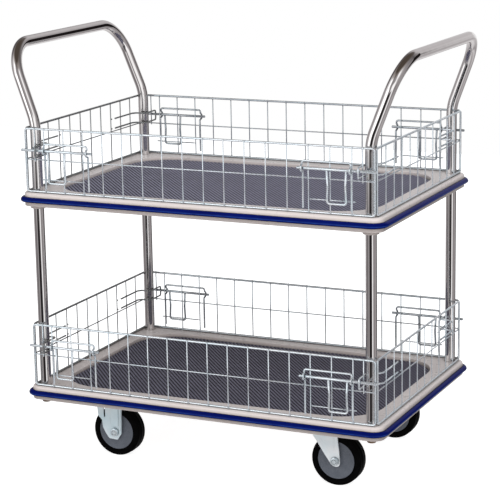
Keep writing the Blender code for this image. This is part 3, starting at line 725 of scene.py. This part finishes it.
def wire_zinc(slot, tone, warmth=0):
    """Zinc of the wires; a panel in shade gets a darker, slightly browner copy of it, which paints
    that shade.
    """
    tint = (1 + warmth, 1, 1 - warmth)
    tones = ((0.88, 0.93, 0.97), (0.78, 0.84, 0.89), (0.74, 0.86, 0.93))
    tones = [tuple(tone * part * t for part, t in zip(colour, tint)) for colour in tones]
    return zinc(slot, 0.78, tones, 0.18, 0.000003, 0.15)


def plug_steel():
    """Steel plug gone brown: tarnish in patches over a dull plated surface."""
    steel = Finish("plug_steel", {"Metallic": 1})
    tarnish = steel.patches(190, 5, 0.38, 0.62, rough=0.65)
    steel.coat(tarnish, (0.155, 0.092, 0.052), (0.37, 0.28, 0.205))
    return steel.done(steel.remap(tarnish, 0, 1, 0.32, 0.62), (1300, 4, 0.00008))


def tyre_rubber():
    """Black rubber: matt grain, dusty bloom."""
    tyre = Finish("tyre_rubber", {"Specular IOR Level": 0.02})
    bloom = tyre.patches(90, 5, 0.35, 0.75, rough=0.65)
    tyre.coat(bloom, (0.0032, 0.0032, 0.0036), (0.0012, 0.0012, 0.0012))
    tyre.coat((800, 3, 0.62, 0.8, 0, 0.3, 0.7), (0.012, 0.012, 0.013))
    return tyre.done(tyre.remap(bloom, 0, 1, 0.48, 0.66), (1500, 3, 0.00008))


def hub_plastic_grey():
    """Recycled grey plastic: pale and dark specks, moulded grain."""
    hub = Finish("hub_plastic_grey", {"Specular IOR Level": 0.35})
    hub.coat((70, 3, 0.3, 0.7), (0.106, 0.122, 0.15), (0.084, 0.098, 0.122))
    hub.coat((950, 2, 0.58, 0.68, 0, 0.6, 0.6), (0.24, 0.26, 0.29))
    hub.coat((620, 2, 0.34, 0.42, 0.5, 0, 0.6), (0.045, 0.048, 0.058))
    return hub.done((400, 3, 0.3, 0.7, 0.42, 0.6), (1100, 3, 0.0001))


BRACKET_TONES = ((0.74, 0.84, 0.89), (0.64, 0.76, 0.82), (0.56, 0.76, 0.84))
FORK_TONES = ((0.9, 0.95, 0.98), (0.82, 0.9, 0.94), (0.74, 0.88, 0.94))
FASTENER_TONES = ((0.72, 0.8, 0.84), (0.6, 0.68, 0.73), (0.54, 0.68, 0.76))
MADE = (
    enamel_cream(), mat_rubber("mat_rubber_grey", 1), pvc_blue(), tube_chrome(),
    wire_zinc("wire_zinc", 1), plug_steel(), tyre_rubber(), hub_plastic_grey(),
    zinc("bracket_zinc", 0.3, BRACKET_TONES, 0.36, 0.000015),
    zinc("fastener_zinc", 0.6, FASTENER_TONES, 0.28, 0.00001, 0.15),
)
FINISHES = {finish.name.removesuffix("_finish"): finish for finish in MADE}

# Pieces whose look in the photograph differs from the rest of their slot: the swivel forks get a
# paler zinc, and darker copies of the wire and mat finishes paint shade.
FORK_ZINC = zinc("fork_zinc", 0.2, FORK_TONES, 0.36, 0.000015)
# Darker copies of the wire zinc paint shade: on the rear panels and bolts, and deeper on the left
# end panels.
SHADED_WIRE = wire_zinc("wire_zinc_shaded", 0.62)
DEEP_SHADED_WIRE = wire_zinc("wire_zinc_deep_shaded", 0.34, 0.05)
# The lower mat gets a darker copy of the rubber, which paints the shade under the upper deck.
SPECIAL = {"mat_lower": mat_rubber("mat_rubber_worn", 0.64)}
for where, _ in FACES:
    SPECIAL[f"swivel_fork_{where}_right"] = FORK_ZINC
for level in LEVELS:
    SPECIAL[f"mesh_side_{level}_rear"] = SHADED_WIRE
    SPECIAL[f"mesh_end_{level}_left"] = DEEP_SHADED_WIRE
    for side, _ in SIDES:
        SPECIAL[f"latch_bolt_{level}_rear_{side}"] = SHADED_WIRE


# ==== decks, mats and bumpers ====

def middle_of(node):
    """Middle of a CAD node's box."""
    low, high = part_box(node)
    return (low + high) / 2


def build_deck(level):
    """Pressed tray with a rounded shoulder, filleted recess, hemmed lip and post sockets."""
    low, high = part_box(f"deck_{level}")
    top = high.z
    bottom = top - DECK_DEPTH
    floor = top - RECESS_DEPTH
    bend = RECESS_FILLET
    hem = HEM_RADIUS

    def outer(inward, z):
        return round_rect(high, max(DECK_CORNER, LIP_CORNER + inward), z, -inward)

    def recess(grow, z):
        return round_rect(RECESS_HALF, RECESS_CORNER, z, grow)

    inside = bend + SHEET
    corner = (SHOULDER, top - SHOULDER)
    rings = []
    for line, centre, radius, start, end, steps in (
        (recess, (-bend, floor + bend), bend, -90, 0, 4),
        (recess, (bend, top - bend), bend, 180, 90, 4),
        (outer, corner, SHOULDER, 90, 180, 9),
        (outer, (hem, bottom + hem), hem, 180, 270, 3),
        (outer, (DECK_LIP - hem, bottom + hem), hem, 270, 450, 6),
        (outer, (SHEET + hem, bottom + SHEET + hem), hem, 270, 180, 1),
        (outer, corner, SHOULDER - SHEET, 180, 90, 5),
        (recess, (inside, top - inside), bend, 90, 180, 3),
        (recess, (SHEET - bend, floor - SHEET + bend), bend, 0, -90, 1),
    ):
        rings += [line(*p) for p in arc(centre, radius, start, end, steps)]
    bm = bmesh.new()
    loft(bm, rings)

    sockets = bmesh.new()
    holes = bmesh.new()
    foot = low.z
    collar = [(foot, SOCKET_RADIUS - 0.0006), (foot + 0.0006, SOCKET_RADIUS)]
    collar += [(top - SHEET + z, SOCKET_RADIUS + grow) for z, grow in SOCKET_ROOT]
    lead = arc((top - HOLE_LEAD, POST_HOLE + HOLE_LEAD), HOLE_LEAD, -90, 0, 4)
    cutter = [(foot - 0.01, POST_HOLE), *lead, (top + 0.01, POST_HOLE + HOLE_LEAD)]
    for node in PLUGS:
        place = upright(*middle_of(node)[:2])
        turned(sockets, collar, place, TURNED_FACETS)
        turned(holes, cutter, place, TURNED_FACETS)
    piece(f"deck_{level}", bm, 32, weighted=True, add=sockets, cut=holes)


def clip_to(outline, origin, direction):
    """Where a line enters and leaves a convex outline, or None if it hardly crosses it."""
    enter, leave = -10, 10
    for _, a, b in around(outline):
        edge = b - a
        normal = Vector((edge.y, -edge.x))
        speed = direction.dot(normal)
        room = (a - origin).dot(normal)
        if abs(speed) < 1e-12:
            if room < 0:
                return None
        elif speed > 0:
            leave = min(leave, room / speed)
        else:
            enter = max(enter, room / speed)
    return (enter, leave) if leave - enter > 0.004 else None


def build_mat(level):
    """Rubber mat with slanting ribs standing on a thin base."""
    low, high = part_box(f"mat_{level}")
    base = low.z + MAT_BASE
    soft = MAT_EDGE
    heights = ((soft, low.z), (0, low.z + soft), (0, base - soft), (soft, base))
    bm = bmesh.new()
    loft(bm, [round_rect(high, MAT_CORNER, z, -inward) for inward, z in heights])
    border = [Vector(p[:2]) for p in round_rect(high, MAT_CORNER, 0, -RIB_BORDER)]
    normal = Vector((cos(RIB_NORMAL), sin(RIB_NORMAL)))
    along = Vector((-normal.y, normal.x))
    reach = int((high.x + high.y) / RIB_PITCH)
    for i in range(-reach, reach + 1):
        first, last = [], []
        for offset, rise in RIB_SECTION:
            origin = normal * (i * RIB_PITCH + offset)
            ends = clip_to(border, origin, along)
            if ends is None:
                break
            lean = max(0, rise) * RIB_END_LEAN
            first.append((*(origin + along * (ends[0] + lean)), base + rise))
            last.append((*(origin + along * (ends[1] - lean)), base + rise))
        if len(first) == len(RIB_SECTION):
            loft(bm, [first, last])
    piece(f"mat_{level}", bm, 20)


def build_bumper(level):
    """Moulded strip round the deck wall, swelling to a rounded nose."""
    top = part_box(f"bumper_{level}")[1].z
    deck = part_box(f"deck_{level}")[1]
    bm = bmesh.new()
    rings = [round_rect(deck, DECK_CORNER, top + drop, out, 16) for out, drop in BUMPER_PROFILE]
    loft(bm, rings, "join")
    piece(f"bumper_{level}", bm, 60)


# ==== handles, mesh panels and latches ====

def build_handle(side, sx):
    """Bent chrome tube, open at its feet."""
    node = f"handle_tube_{side}"
    low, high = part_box(node)
    x, y, _ = middle_of(f"post_plug_rear_{side}")
    far = (high.x if sx > 0 else low.x) - sx * TUBE_RADIUS
    top = high.z - TUBE_RADIUS
    corners = [
        (x, -y, low.z), (x, -y, KINK_HEIGHT), (far, -HANDLE_TOP_Y, top),
        (far, HANDLE_TOP_Y, top), (x, y, KINK_HEIGHT), (x, y, low.z),
    ]
    path = filleted(corners, [KINK_RADIUS, HANDLE_CORNER, HANDLE_CORNER, KINK_RADIUS], 3.5)
    bm = bmesh.new()
    sweep(bm, path, TUBE_RADIUS, 40, wall=TUBE_WALL)
    piece(node, bm, 40)


def build_plug(node):
    """Chamfered hexagonal plug head under the open foot of a post."""
    low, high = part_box(node)
    place = upright(*middle_of(node)[:2], low.z + PLUG_HEAD, flipped=True)
    bm = bmesh.new()
    hexagon(bm, place, PLUG_CORNER, PLUG_HEAD - PLUG_CROWN, crown=PLUG_CROWN)
    neck = high.z - low.z - PLUG_HEAD
    turned(bm, [(0, PLUG_NECK), (-neck, PLUG_NECK)], place, PIN_FACETS)
    piece(node, bm, 40)


def frame_loop(make, half, height):
    """Closed rectangle of round wire with bent corners; make(a, z) places a point."""
    loop = []
    for corner, (sa, sz) in enumerate(((1, 1), (-1, 1), (-1, 0), (1, 0))):
        centre = (sa * (half - FRAME_CORNER), (height - FRAME_CORNER) if sz else FRAME_CORNER)
        loop += [make(*p) for p in arc(centre, FRAME_CORNER, 90 * corner, 90 * corner + 90, 6)]
    return loop


def build_side_panel(level, where, sy):
    """Long panel: bent frame, welded bars, middle wire, bolt guides."""
    node = f"mesh_side_{level}_{where}"
    low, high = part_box(node)
    plane = (low.y if sy > 0 else high.y) + sy * RAIL
    front = plane + sy * BAR_LIFT
    back = plane + sy * MID_LIFT
    base = low.z + RAIL
    height = high.z - low.z - 2 * RAIL
    top = base + height
    mid = base + MID_HEIGHT
    cross = base + CROSS_HEIGHT
    half = high.x - RAIL
    bm = bmesh.new()
    loop = frame_loop(lambda a, z: (a, plane, base + z), half, height)
    sweep(bm, loop, RAIL, RAIL_FACETS, closed=True)

    def upright_bar(x, foot, rails):
        bar(bm, (x, front, foot), (x, front, top + BAR_TAIL))
        for z in rails:
            weld(bm, (x, plane + sy * RAIL_WELD_OUT, z), *RAIL_WELD)
        weld(bm, (x, plane + sy * MID_WELD_OUT, mid), *MID_WELD)

    cells = round(2 * half / PITCH)
    for i in range(1, cells):
        upright_bar(-half + 2 * half * i / cells, base - BAR_TAIL, (base, top))
    bar(bm, (-half, back, mid), (half, back, mid))
    for _, sx in SIDES:
        upright_bar(sx * SHORT_BAR_X, mid - SHORT_BAR_FOOT, (top,))
        weld(bm, (sx * half, back, mid), *CORNER_WELD)
        legs = [[(sx * x, sy * y, base + z) for y, z in GUIDE_LEG] for x in GUIDE_X]
        sweep(bm, filleted(legs[0] + legs[1][::-1], GUIDE_BENDS, 22.5), GUIDE_WIRE, WIRE_FACETS)
        bar(bm, (sx * CROSS_X[0], sy * CROSS_Y, cross), (sx * CROSS_X[1], sy * CROSS_Y, cross))
        for x in (PITCH * 5.5, PITCH * 6.5, PITCH * 7.5):
            weld(bm, (sx * x, sy * (CROSS_Y + 0.0008), cross), *CROSS_WELD)
        for x in GUIDE_X:
            weld(bm, (sx * x, sy * CROSS_Y, mid), *GUIDE_WELD)
        weld(bm, (sx * GUIDE_X[1], sy * (CROSS_Y + 0.0004), cross), *GUIDE_WELD)
    piece(node, bm, 50)


def build_end_panel(level, side, sx):
    """Short panel with a hasp reaching round each post."""
    node = f"mesh_end_{level}_{side}"
    low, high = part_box(node)
    plane = (high.x if sx > 0 else low.x) - sx * RAIL
    front = plane + sx * END_BAR_LIFT
    back = plane - sx * MID_LIFT
    base = low.z + RAIL
    height = high.z - low.z - 2 * RAIL
    top = base + height
    mid = base + MID_HEIGHT
    half = PITCH * 5.5
    bm = bmesh.new()
    loop = frame_loop(lambda a, z: (plane, a, base + z), half, height)
    sweep(bm, loop, RAIL, RAIL_FACETS, closed=True)
    for i in range(1, 11):
        y = -half + PITCH * i
        bar(bm, (front, y, base), (front, y, top))
        for z in (base + END_WELD_IN, top - END_WELD_IN):
            weld(bm, (front, y, z), *END_WELD)
        weld(bm, (plane, y, mid), *MID_WELD)
    bar(bm, (back, -half, mid), (back, half, mid))
    for _, sy in FACES:
        weld(bm, (back, sy * half, mid), *CORNER_WELD)
        arms = [[(sx * x, sy * y, base + z) for x, y in HASP_PATH] for z in HASP_HEIGHTS]
        sweep(bm, filleted(arms[0] + arms[1][::-1], HASP_BENDS, 15), HASP_WIRE, WIRE_FACETS)
        for z in HASP_HEIGHTS:
            for y in (PITCH * 2.5, PITCH * 3.5):
                weld(bm, (sx * 0.4258, sy * y, base + z), *HASP_WELD)
    piece(node, bm, 50)


def build_latch_bolt(level, where, side, sx):
    """Round bolt with its bent pull welded underneath."""
    node = f"latch_bolt_{level}_{where}_{side}"
    low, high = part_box(node)
    y = (low.y + high.y) / 2
    z = high.z - ROD
    bottom = z - BOLT_HEIGHT + PULL_BOTTOM
    waist = (z + bottom) / 2
    near, far = sorted((abs(low.x), abs(high.x)))
    bm = bmesh.new()
    rod = [(sx * (near + ROD * 0.5), y, z), (sx * (far - ROD * 0.5), y, z)]
    sweep(bm, rod, ROD, 20, dome=0.5)
    a, b = PULL_X
    points = [
        (sx * a, y, z), (sx * (a + PULL_WAIST), y, waist), (sx * a, y, bottom),
        (sx * b, y, bottom), (sx * (b - PULL_WAIST), y, waist), (sx * b, y, z),
    ]
    sweep(bm, filleted(points, PULL_BENDS, 10), PULL_WIRE, RAIL_FACETS)
    for x in PULL_X:
        weld(bm, (sx * x, y, z - ROD * 0.55), *PULL_WELD)
    piece(node, bm, 50)


# ==== casters ====

def build_wheel(where, side):
    """Rubber tyre, dished hub, sleeve, axle bolt and nut."""
    name = f"{where}_{side}"
    low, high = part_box(f"tyre_{name}")
    centre = (low + high) / 2
    radius = (high.z - low.z) / 2
    half = (high.y - low.y) / 2
    crown = radius - 0.0003
    tyre = [(0.0006, radius), (0.0012, crown), (half - 0.0075, crown - 0.0003)]
    tyre += arc((half - 0.0045, crown - 0.0036), 0.0034, 80, 12, 5)
    tyre += [(half + a, radius + r) for a, r in TYRE_SHOULDER]
    tyre += [(half + a, TYRE_INNER + r) for a, r in TYRE_FACE]
    low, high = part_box(f"axle_sleeve_{name}")
    reach = (high.y - low.y) / 2
    soft = SLEEVE_EDGE
    sleeve = [
        (reach - soft, SLEEVE_BORE), (reach, SLEEVE_BORE + soft),
        (reach, SLEEVE_RADIUS - soft), (reach - soft, SLEEVE_RADIUS),
    ]
    for part, face, facets in (
        ("tyre", tyre[::-1], WHEEL_FACETS), ("hub", HUB_FACE, HUB_FACETS),
        ("axle_sleeve", sleeve, TURNED_FACETS),
    ):
        bm = bmesh.new()
        turned(bm, mirrored(face), axis_y(centre), facets, "join")
        piece(f"{part}_{name}", bm, 40)

    out = 1 if centre.y > 0 else -1
    outward = axis_y(centre, out)
    head_far, tip = sorted((v.y - centre.y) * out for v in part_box(f"axle_bolt_{name}"))
    under_head = head_far + AXLE_HEAD
    nut_near, nut_far = sorted(abs(v.y - centre.y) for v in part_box(f"axle_nut_{name}"))
    head = outward @ upright(0, 0, under_head, flipped=True)
    head = head @ Matrix.Rotation(radians(14), 4, "Z")
    bm = bmesh.new()
    hexagon(bm, head, HEX_CORNER, AXLE_HEAD - AXLE_HEAD_CROWN, crown=AXLE_HEAD_CROWN)
    shank = [(under_head - 0.001, AXLE_RADIUS), (nut_near + 0.004, AXLE_RADIUS)]
    z = nut_near + 0.0045
    while z < tip - 0.0012:
        shank += [(z, AXLE_RADIUS), (z + THREAD_PITCH / 2, THREAD_ROOT)]
        z += THREAD_PITCH
    shank += [(tip - 0.001, AXLE_RADIUS), (tip, 0.0041)]
    turned(bm, shank, outward, PIN_FACETS)
    piece(f"axle_bolt_{name}", bm, 40)

    nut = outward @ upright(0, 0, nut_near) @ Matrix.Rotation(radians(9), 4, "Z")
    bm = bmesh.new()
    hexagon(bm, nut, HEX_CORNER, nut_far - nut_near, bore=NUT_BORE)
    piece(f"axle_nut_{name}", bm, 40)


def top_plate(bm, low, high, z_low, z_high):
    """Rounded flat plate."""
    middle = (low + high) / 2
    soft = PLATE_EDGE
    rings = []
    for inward, z in ((soft, z_low), (0, z_low + soft), (0, z_high - soft), (soft, z_high)):
        ring = round_rect((high - low) / 2, PLATE_CORNER, z, -inward, 6)
        rings.append([(x + middle.x, y + middle.y, z) for x, y, z in ring])
    loft(bm, rings)


def bend_fillet(bm, x_ends, y, out, z, radius):
    """Concave bend between a plate above and a side plate, running along X."""
    section = [(-0.0004, 0.0006), (radius, 0.0006)]
    section += arc((radius, -radius), radius, 90, 180, 6) + [(-0.0004, -radius)]
    loft(bm, [[(x, y + out * a, z + b) for a, b in section] for x in x_ends])


def build_fixed_bracket(where):
    """Pressed rigid bracket: top plate, shaped sides with a raised field, an edge and a slot."""
    node = f"caster_bracket_{where}_left"
    low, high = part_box(node)
    centre = middle_of(f"tyre_{where}_left")
    under = high.z - PLATE_SHEET
    bm = bmesh.new()
    top_plate(bm, low, high, under, high.z)
    outline = placed(FIXED_SIDE, centre, 0.003, under + 0.0005)
    bend = [centre.x + x for x in FIXED_BEND_X]
    for _, out in FACES:
        face = centre.y + out * (FORK_INNER + FORK_SHEET)
        sheet_side(bm, outline, (face, centre.y + out * FORK_INNER))
        bend_fillet(bm, bend, face, out, under, FIXED_BEND)
        pressed_pad(bm, placed(FIXED_FIELD, centre, 0.004), face, out, 0.0012, 0.0012)
        pressed_pad(bm, placed(FIXED_EDGE, centre, 0.0012), face, out, 0.0022, 0.0008)
    slot = placed(FIXED_SLOT, centre, 0.0016)
    cutter = bmesh.new()
    skin_y(cutter, [(slot, centre.y + out * FIXED_SLOT_REACH) for _, out in FACES])
    piece(node, bm, 30, weighted=True, cut=cutter)


def build_swivel(where):
    """Swivel plate with its race, the turning fork and the kingpin."""
    name = f"{where}_right"
    low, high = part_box(f"swivel_plate_{name}")
    pivot = upright(*((low + high) / 2)[:2])
    under = high.z - PLATE_SHEET
    bm = bmesh.new()
    top_plate(bm, low, high, under, high.z)
    race = [(under + z, r) for z, r in RACE_RIM] + [(low.z + z, r) for z, r in RACE_FOOT]
    turned(bm, race + [(under, PIN_HOLE)], pivot, 64)
    piece(f"swivel_plate_{name}", bm, 30, weighted=True)

    low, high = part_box(f"swivel_fork_{name}")
    centre = middle_of(f"tyre_{name}")
    outer = FORK_INNER + FORK_SHEET
    top = high.z
    outline = placed(SWIVEL_SIDE, centre, 0.009, top - FORK_BEND)
    bm = bmesh.new()
    for _, out in FACES:
        face = centre.y + out * outer
        sheet_side(bm, outline, (face, centre.y + out * FORK_INNER))
        pressed_pad(bm, placed(SWIVEL_FIELD, centre, 0.007), face, out, 0.0006, 0.003)
    section = [(outer, FORK_SKIRT)] + arc((outer - FORK_BEND, -FORK_BEND), FORK_BEND, 0, 90, 6)
    inner_bend = FORK_BEND - FORK_SHEET + 0.0004
    bend = (FORK_INNER - inner_bend, -FORK_CROWN - inner_bend)
    turn_in = arc(bend, inner_bend, 90, 0, 5) + [(FORK_INNER, FORK_SKIRT)]
    section += [(-a, b) for a, b in reversed(section)]
    section += [(-a, b) for a, b in reversed(turn_in)] + turn_in
    left, right = low.x, high.x - FORK_BACK
    stations = (left, left + SHEET_EDGE, right - SHEET_EDGE, right)
    loft(bm, [[(x, centre.y + a, top + b) for a, b in section] for x in stations])
    turned(bm, [(top + z, r) for z, r in CUP_SECTION], pivot, 48, "join")
    piece(f"swivel_fork_{name}", bm, 30, weighted=True)

    low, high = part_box(f"kingpin_{name}")
    place = pivot @ upright(0, 0, low.z + KINGPIN_HEAD, flipped=True)
    reach = high.z - low.z - KINGPIN_HEAD
    bm = bmesh.new()
    hexagon(bm, place, HEX_CORNER, KINGPIN_HEAD - 0.0005, crown=0.0005)
    shank = [(0, KINGPIN_SHANK), (0.0008 - reach, KINGPIN_SHANK), (-reach, 0.0049)]
    turned(bm, shank, place, PIN_FACETS)
    piece(f"kingpin_{name}", bm, 40)


# ==== whole trolley ====

for level in LEVELS:
    build_deck(level)
    build_mat(level)
    build_bumper(level)
    for where, sy in FACES:
        build_side_panel(level, where, sy)
        for side, sx in SIDES:
            build_latch_bolt(level, where, side, sx)
    for side, sx in SIDES:
        build_end_panel(level, side, sx)
for side, sx in SIDES:
    build_handle(side, sx)
for node in PLUGS:
    build_plug(node)
for where, _ in FACES:
    build_fixed_bracket(where)
    build_swivel(where)
    for side, _ in SIDES:
        build_wheel(where, side)


# ==== floor, studio and camera ====

def build_floor():
    """Plain pale floor, lit almost to white."""
    bm = bmesh.new()
    bmesh.ops.create_grid(bm, x_segments=8, y_segments=8, size=4)
    floor = to_object("floor", bm)
    floor.visible_glossy = False
    floor.visible_diffuse = False
    mat = bpy.data.materials.new("floor")
    mat.use_nodes = True
    for key, value in {
        "Base Color": (0.5, 0.5, 0.5, 1), "Roughness": 0.9, "Specular IOR Level": 0,
        "Emission Color": (1, 1, 1, 1), "Emission Strength": 0.88,
    }.items():
        mat.node_tree.nodes["Principled BSDF"].inputs[key].default_value = value
    floor.data.materials.append(mat)


# What the polished tubes see: bands from the floor up to the ceiling, each with its brightness in
# hundredths at angles round the horizon, degrees from -Y towards +X. STUDIO_FADES gives the rise
# above the horizon over which each band passes into the next.
STUDIO_BANDS = (
    ((-180, 80), (-105, 45), (-60, 40), (-20, 50), (10, 70), (40, 80), (65, 35), (100, 55),
     (135, 70), (152, 35), (180, 80)),
    ((-180, 78), (-150, 70), (-113, 56), (-88, 30), (-66, 24), (-52, 13), (-42, 22), (-30, 42),
     (-20, 36), (-12, 7), (-6, 2), (20, 1.5), (28, 6), (36, 35), (43, 120), (53, 125), (60, 45),
     (67, 26), (92, 32), (105, 40), (118, 36), (150, 30), (165, 45), (180, 72)),
    ((-180, 100), (-160, 60), (-135, 40), (-80, 36), (-62, 60), (-46, 150), (-16, 200), (-6, 40),
     (4, 18), (14, 40), (24, 120), (52, 130), (64, 55), (80, 42), (112, 32), (124, 24), (150, 45),
     (162, 62), (172, 85), (180, 100)),
    ((-180, 60), (-160, 52), (-146, 12), (-105, 8), (-86, 25), (-66, 75), (-44, 110), (-30, 190),
     (-16, 60), (0, 24), (22, 34), (36, 45), (50, 130), (62, 110), (76, 55), (92, 34), (112, 22),
     (132, 12), (148, 30), (162, 54), (180, 60)),
    ((-180, 12), (-120, 12), (-62, 38), (-30, 44), (-4, 14), (30, 22), (50, 38), (80, 30),
     (112, 13), (150, 10), (180, 12)),
)
STUDIO_TINTS = ((1.05, 0.96, 0.985),) * 4 + ((1.12, 0.95, 0.86),)
STUDIO_FADES = ((-38, -28), (-12, -5), (8, 18), (34, 46))
OVERHEAD_FADE = (46, 60)
OVERHEAD = (0.085, 0.068, 0.055)
FLAG_TURN = (133, 157)  # a black flag behind the trolley
FLAG_RISE = (-15, 12)
FLAG = (0.012, 0.01, 0.01)
DOME = (  # light on the matt surfaces, from straight down to straight up
    (0, (0.22, 0.21, 0.21)), (0.45, (0.3, 0.29, 0.29)), (0.66, (0.34, 0.34, 0.35)),
    (0.78, (0.86, 0.9, 0.95)), (1, (1, 1.05, 1.11)),
)
DOME_LEFT = (0.12, 0.12, 0.12)
SWEEP_LIGHT = (1.22, 1.16, 1.14)
SWEEP_RISE = (-38, 6)
LIGHT_TARGET = Vector((0, 0, 0.4))


def grey(value, tint):
    """Grey of a given brightness, tinted where it is dim and white where it is bright."""
    dim = max(0, 1 - value)
    return tuple(value * (1 + (part - 1) * dim) for part in tint)


def between(sky, value, span, soft):
    """1 inside a span, falling to 0 over a soft edge outside it."""
    low, high = span
    up = sky.remap(value, low - soft, low, 0, 1, True)
    return sky.times(up, sky.remap(value, high, high + soft, 1, 0, True))


def build_studio():
    """White room for the eye; for the reflections, softboxes and flags round a dim studio."""
    world = bpy.data.worlds.new("studio")
    bpy.context.scene.world = world
    world.use_nodes = True
    sky = Nodes(world.node_tree)
    sky.tree.nodes.clear()
    x, y, z = sky.add("SeparateXYZ", {0: sky.coords("Generated")}).outputs
    angle = sky.math("ARCTAN2", x, sky.times(y, -1))
    compass = sky.remap(angle, -pi, pi)
    turn = sky.times(angle, 180 / pi)
    rise = sky.times(sky.math("ARCSINE", z), 180 / pi)

    bands = [
        sky.ramp(compass, [((a + 180) / 360, grey(value / 100, tint)) for a, value in stops])
        for stops, tint in zip(STUDIO_BANDS, STUDIO_TINTS)
    ]
    seen = bands[0]
    for band, (low, high) in zip(bands[1:], STUDIO_FADES):
        seen = sky.mix(sky.remap(rise, low, high, 0, 1, True), seen, band)
    seen = sky.mix(sky.remap(rise, *OVERHEAD_FADE, 0, 1, True), seen, OVERHEAD)
    flag = sky.times(between(sky, turn, FLAG_TURN, 3), between(sky, rise, FLAG_RISE, 3))
    seen = sky.mix(flag, seen, FLAG)

    soft = sky.ramp(sky.remap(rise, -90, 90), DOME)
    soft = sky.mix(sky.remap(x, 0.1, -0.9, 0, 0.55, True), soft, DOME_LEFT)
    ahead = sky.remap(y, 0.1, -0.8, 0, 1, True)
    soft = sky.mix(sky.times(ahead, between(sky, rise, SWEEP_RISE, 14)), soft, SWEEP_LIGHT)

    path = sky.add("LightPath")
    light = sky.mix(path.outputs["Is Diffuse Ray"], seen, soft)
    light = sky.mix(path.outputs["Is Camera Ray"], light, (1, 1, 1))
    backdrop = sky.add("Background", {"Color": light, "Strength": 1})
    sky.add("OutputWorld", {"Surface": backdrop.outputs[0]})


def area_light(name, place, size, power):
    """Large soft light on the matt surfaces, kept out of the reflections."""
    data = bpy.data.lights.new(name, "AREA")
    data.shape = "RECTANGLE"
    data.size = data.size_y = size
    data.energy = power
    light = linked(name, data)
    light.location = place
    light.rotation_mode = "QUATERNION"
    light.rotation_quaternion = (Vector(place) - LIGHT_TARGET).to_track_quat("Z", "Y")
    light.visible_glossy = False
    light.visible_camera = False


def build_camera():
    """Camera at the photograph's viewpoint."""
    yaw, pitch, roll = (radians(v) for v in (CAMERA_YAW, CAMERA_PITCH, CAMERA_ROLL))
    level = cos(pitch)
    ahead = Vector((-sin(yaw) * level, cos(yaw) * level, -sin(pitch)))
    right = Vector((cos(yaw), sin(yaw), 0))
    up = right.cross(ahead)
    across = cos(roll) * right + sin(roll) * up
    up = -sin(roll) * right + cos(roll) * up
    data = bpy.data.cameras.new("camera")
    data.sensor_width = SENSOR_WIDTH
    data.lens = CAMERA_FOCUS / PICTURE_WIDTH * SENSOR_WIDTH
    data.clip_start, data.clip_end = 0.05, 50
    camera = linked("camera", data)
    turn = Matrix((across, up, -ahead)).transposed().to_4x4()
    camera.matrix_world = Matrix.Translation(CAMERA_PLACE) @ turn
    bpy.context.scene.camera = camera


build_floor()
build_studio()
area_light("key", (0.7, -3, 3), 2.2, 56)
area_light("fill", (2.8, -2.1, 2.2), 2.2, 34)
area_light("back", (-0.6, 3.4, 1.9), 2.4, 22)
build_camera()
bpy.context.scene.view_settings.view_transform = "Standard"
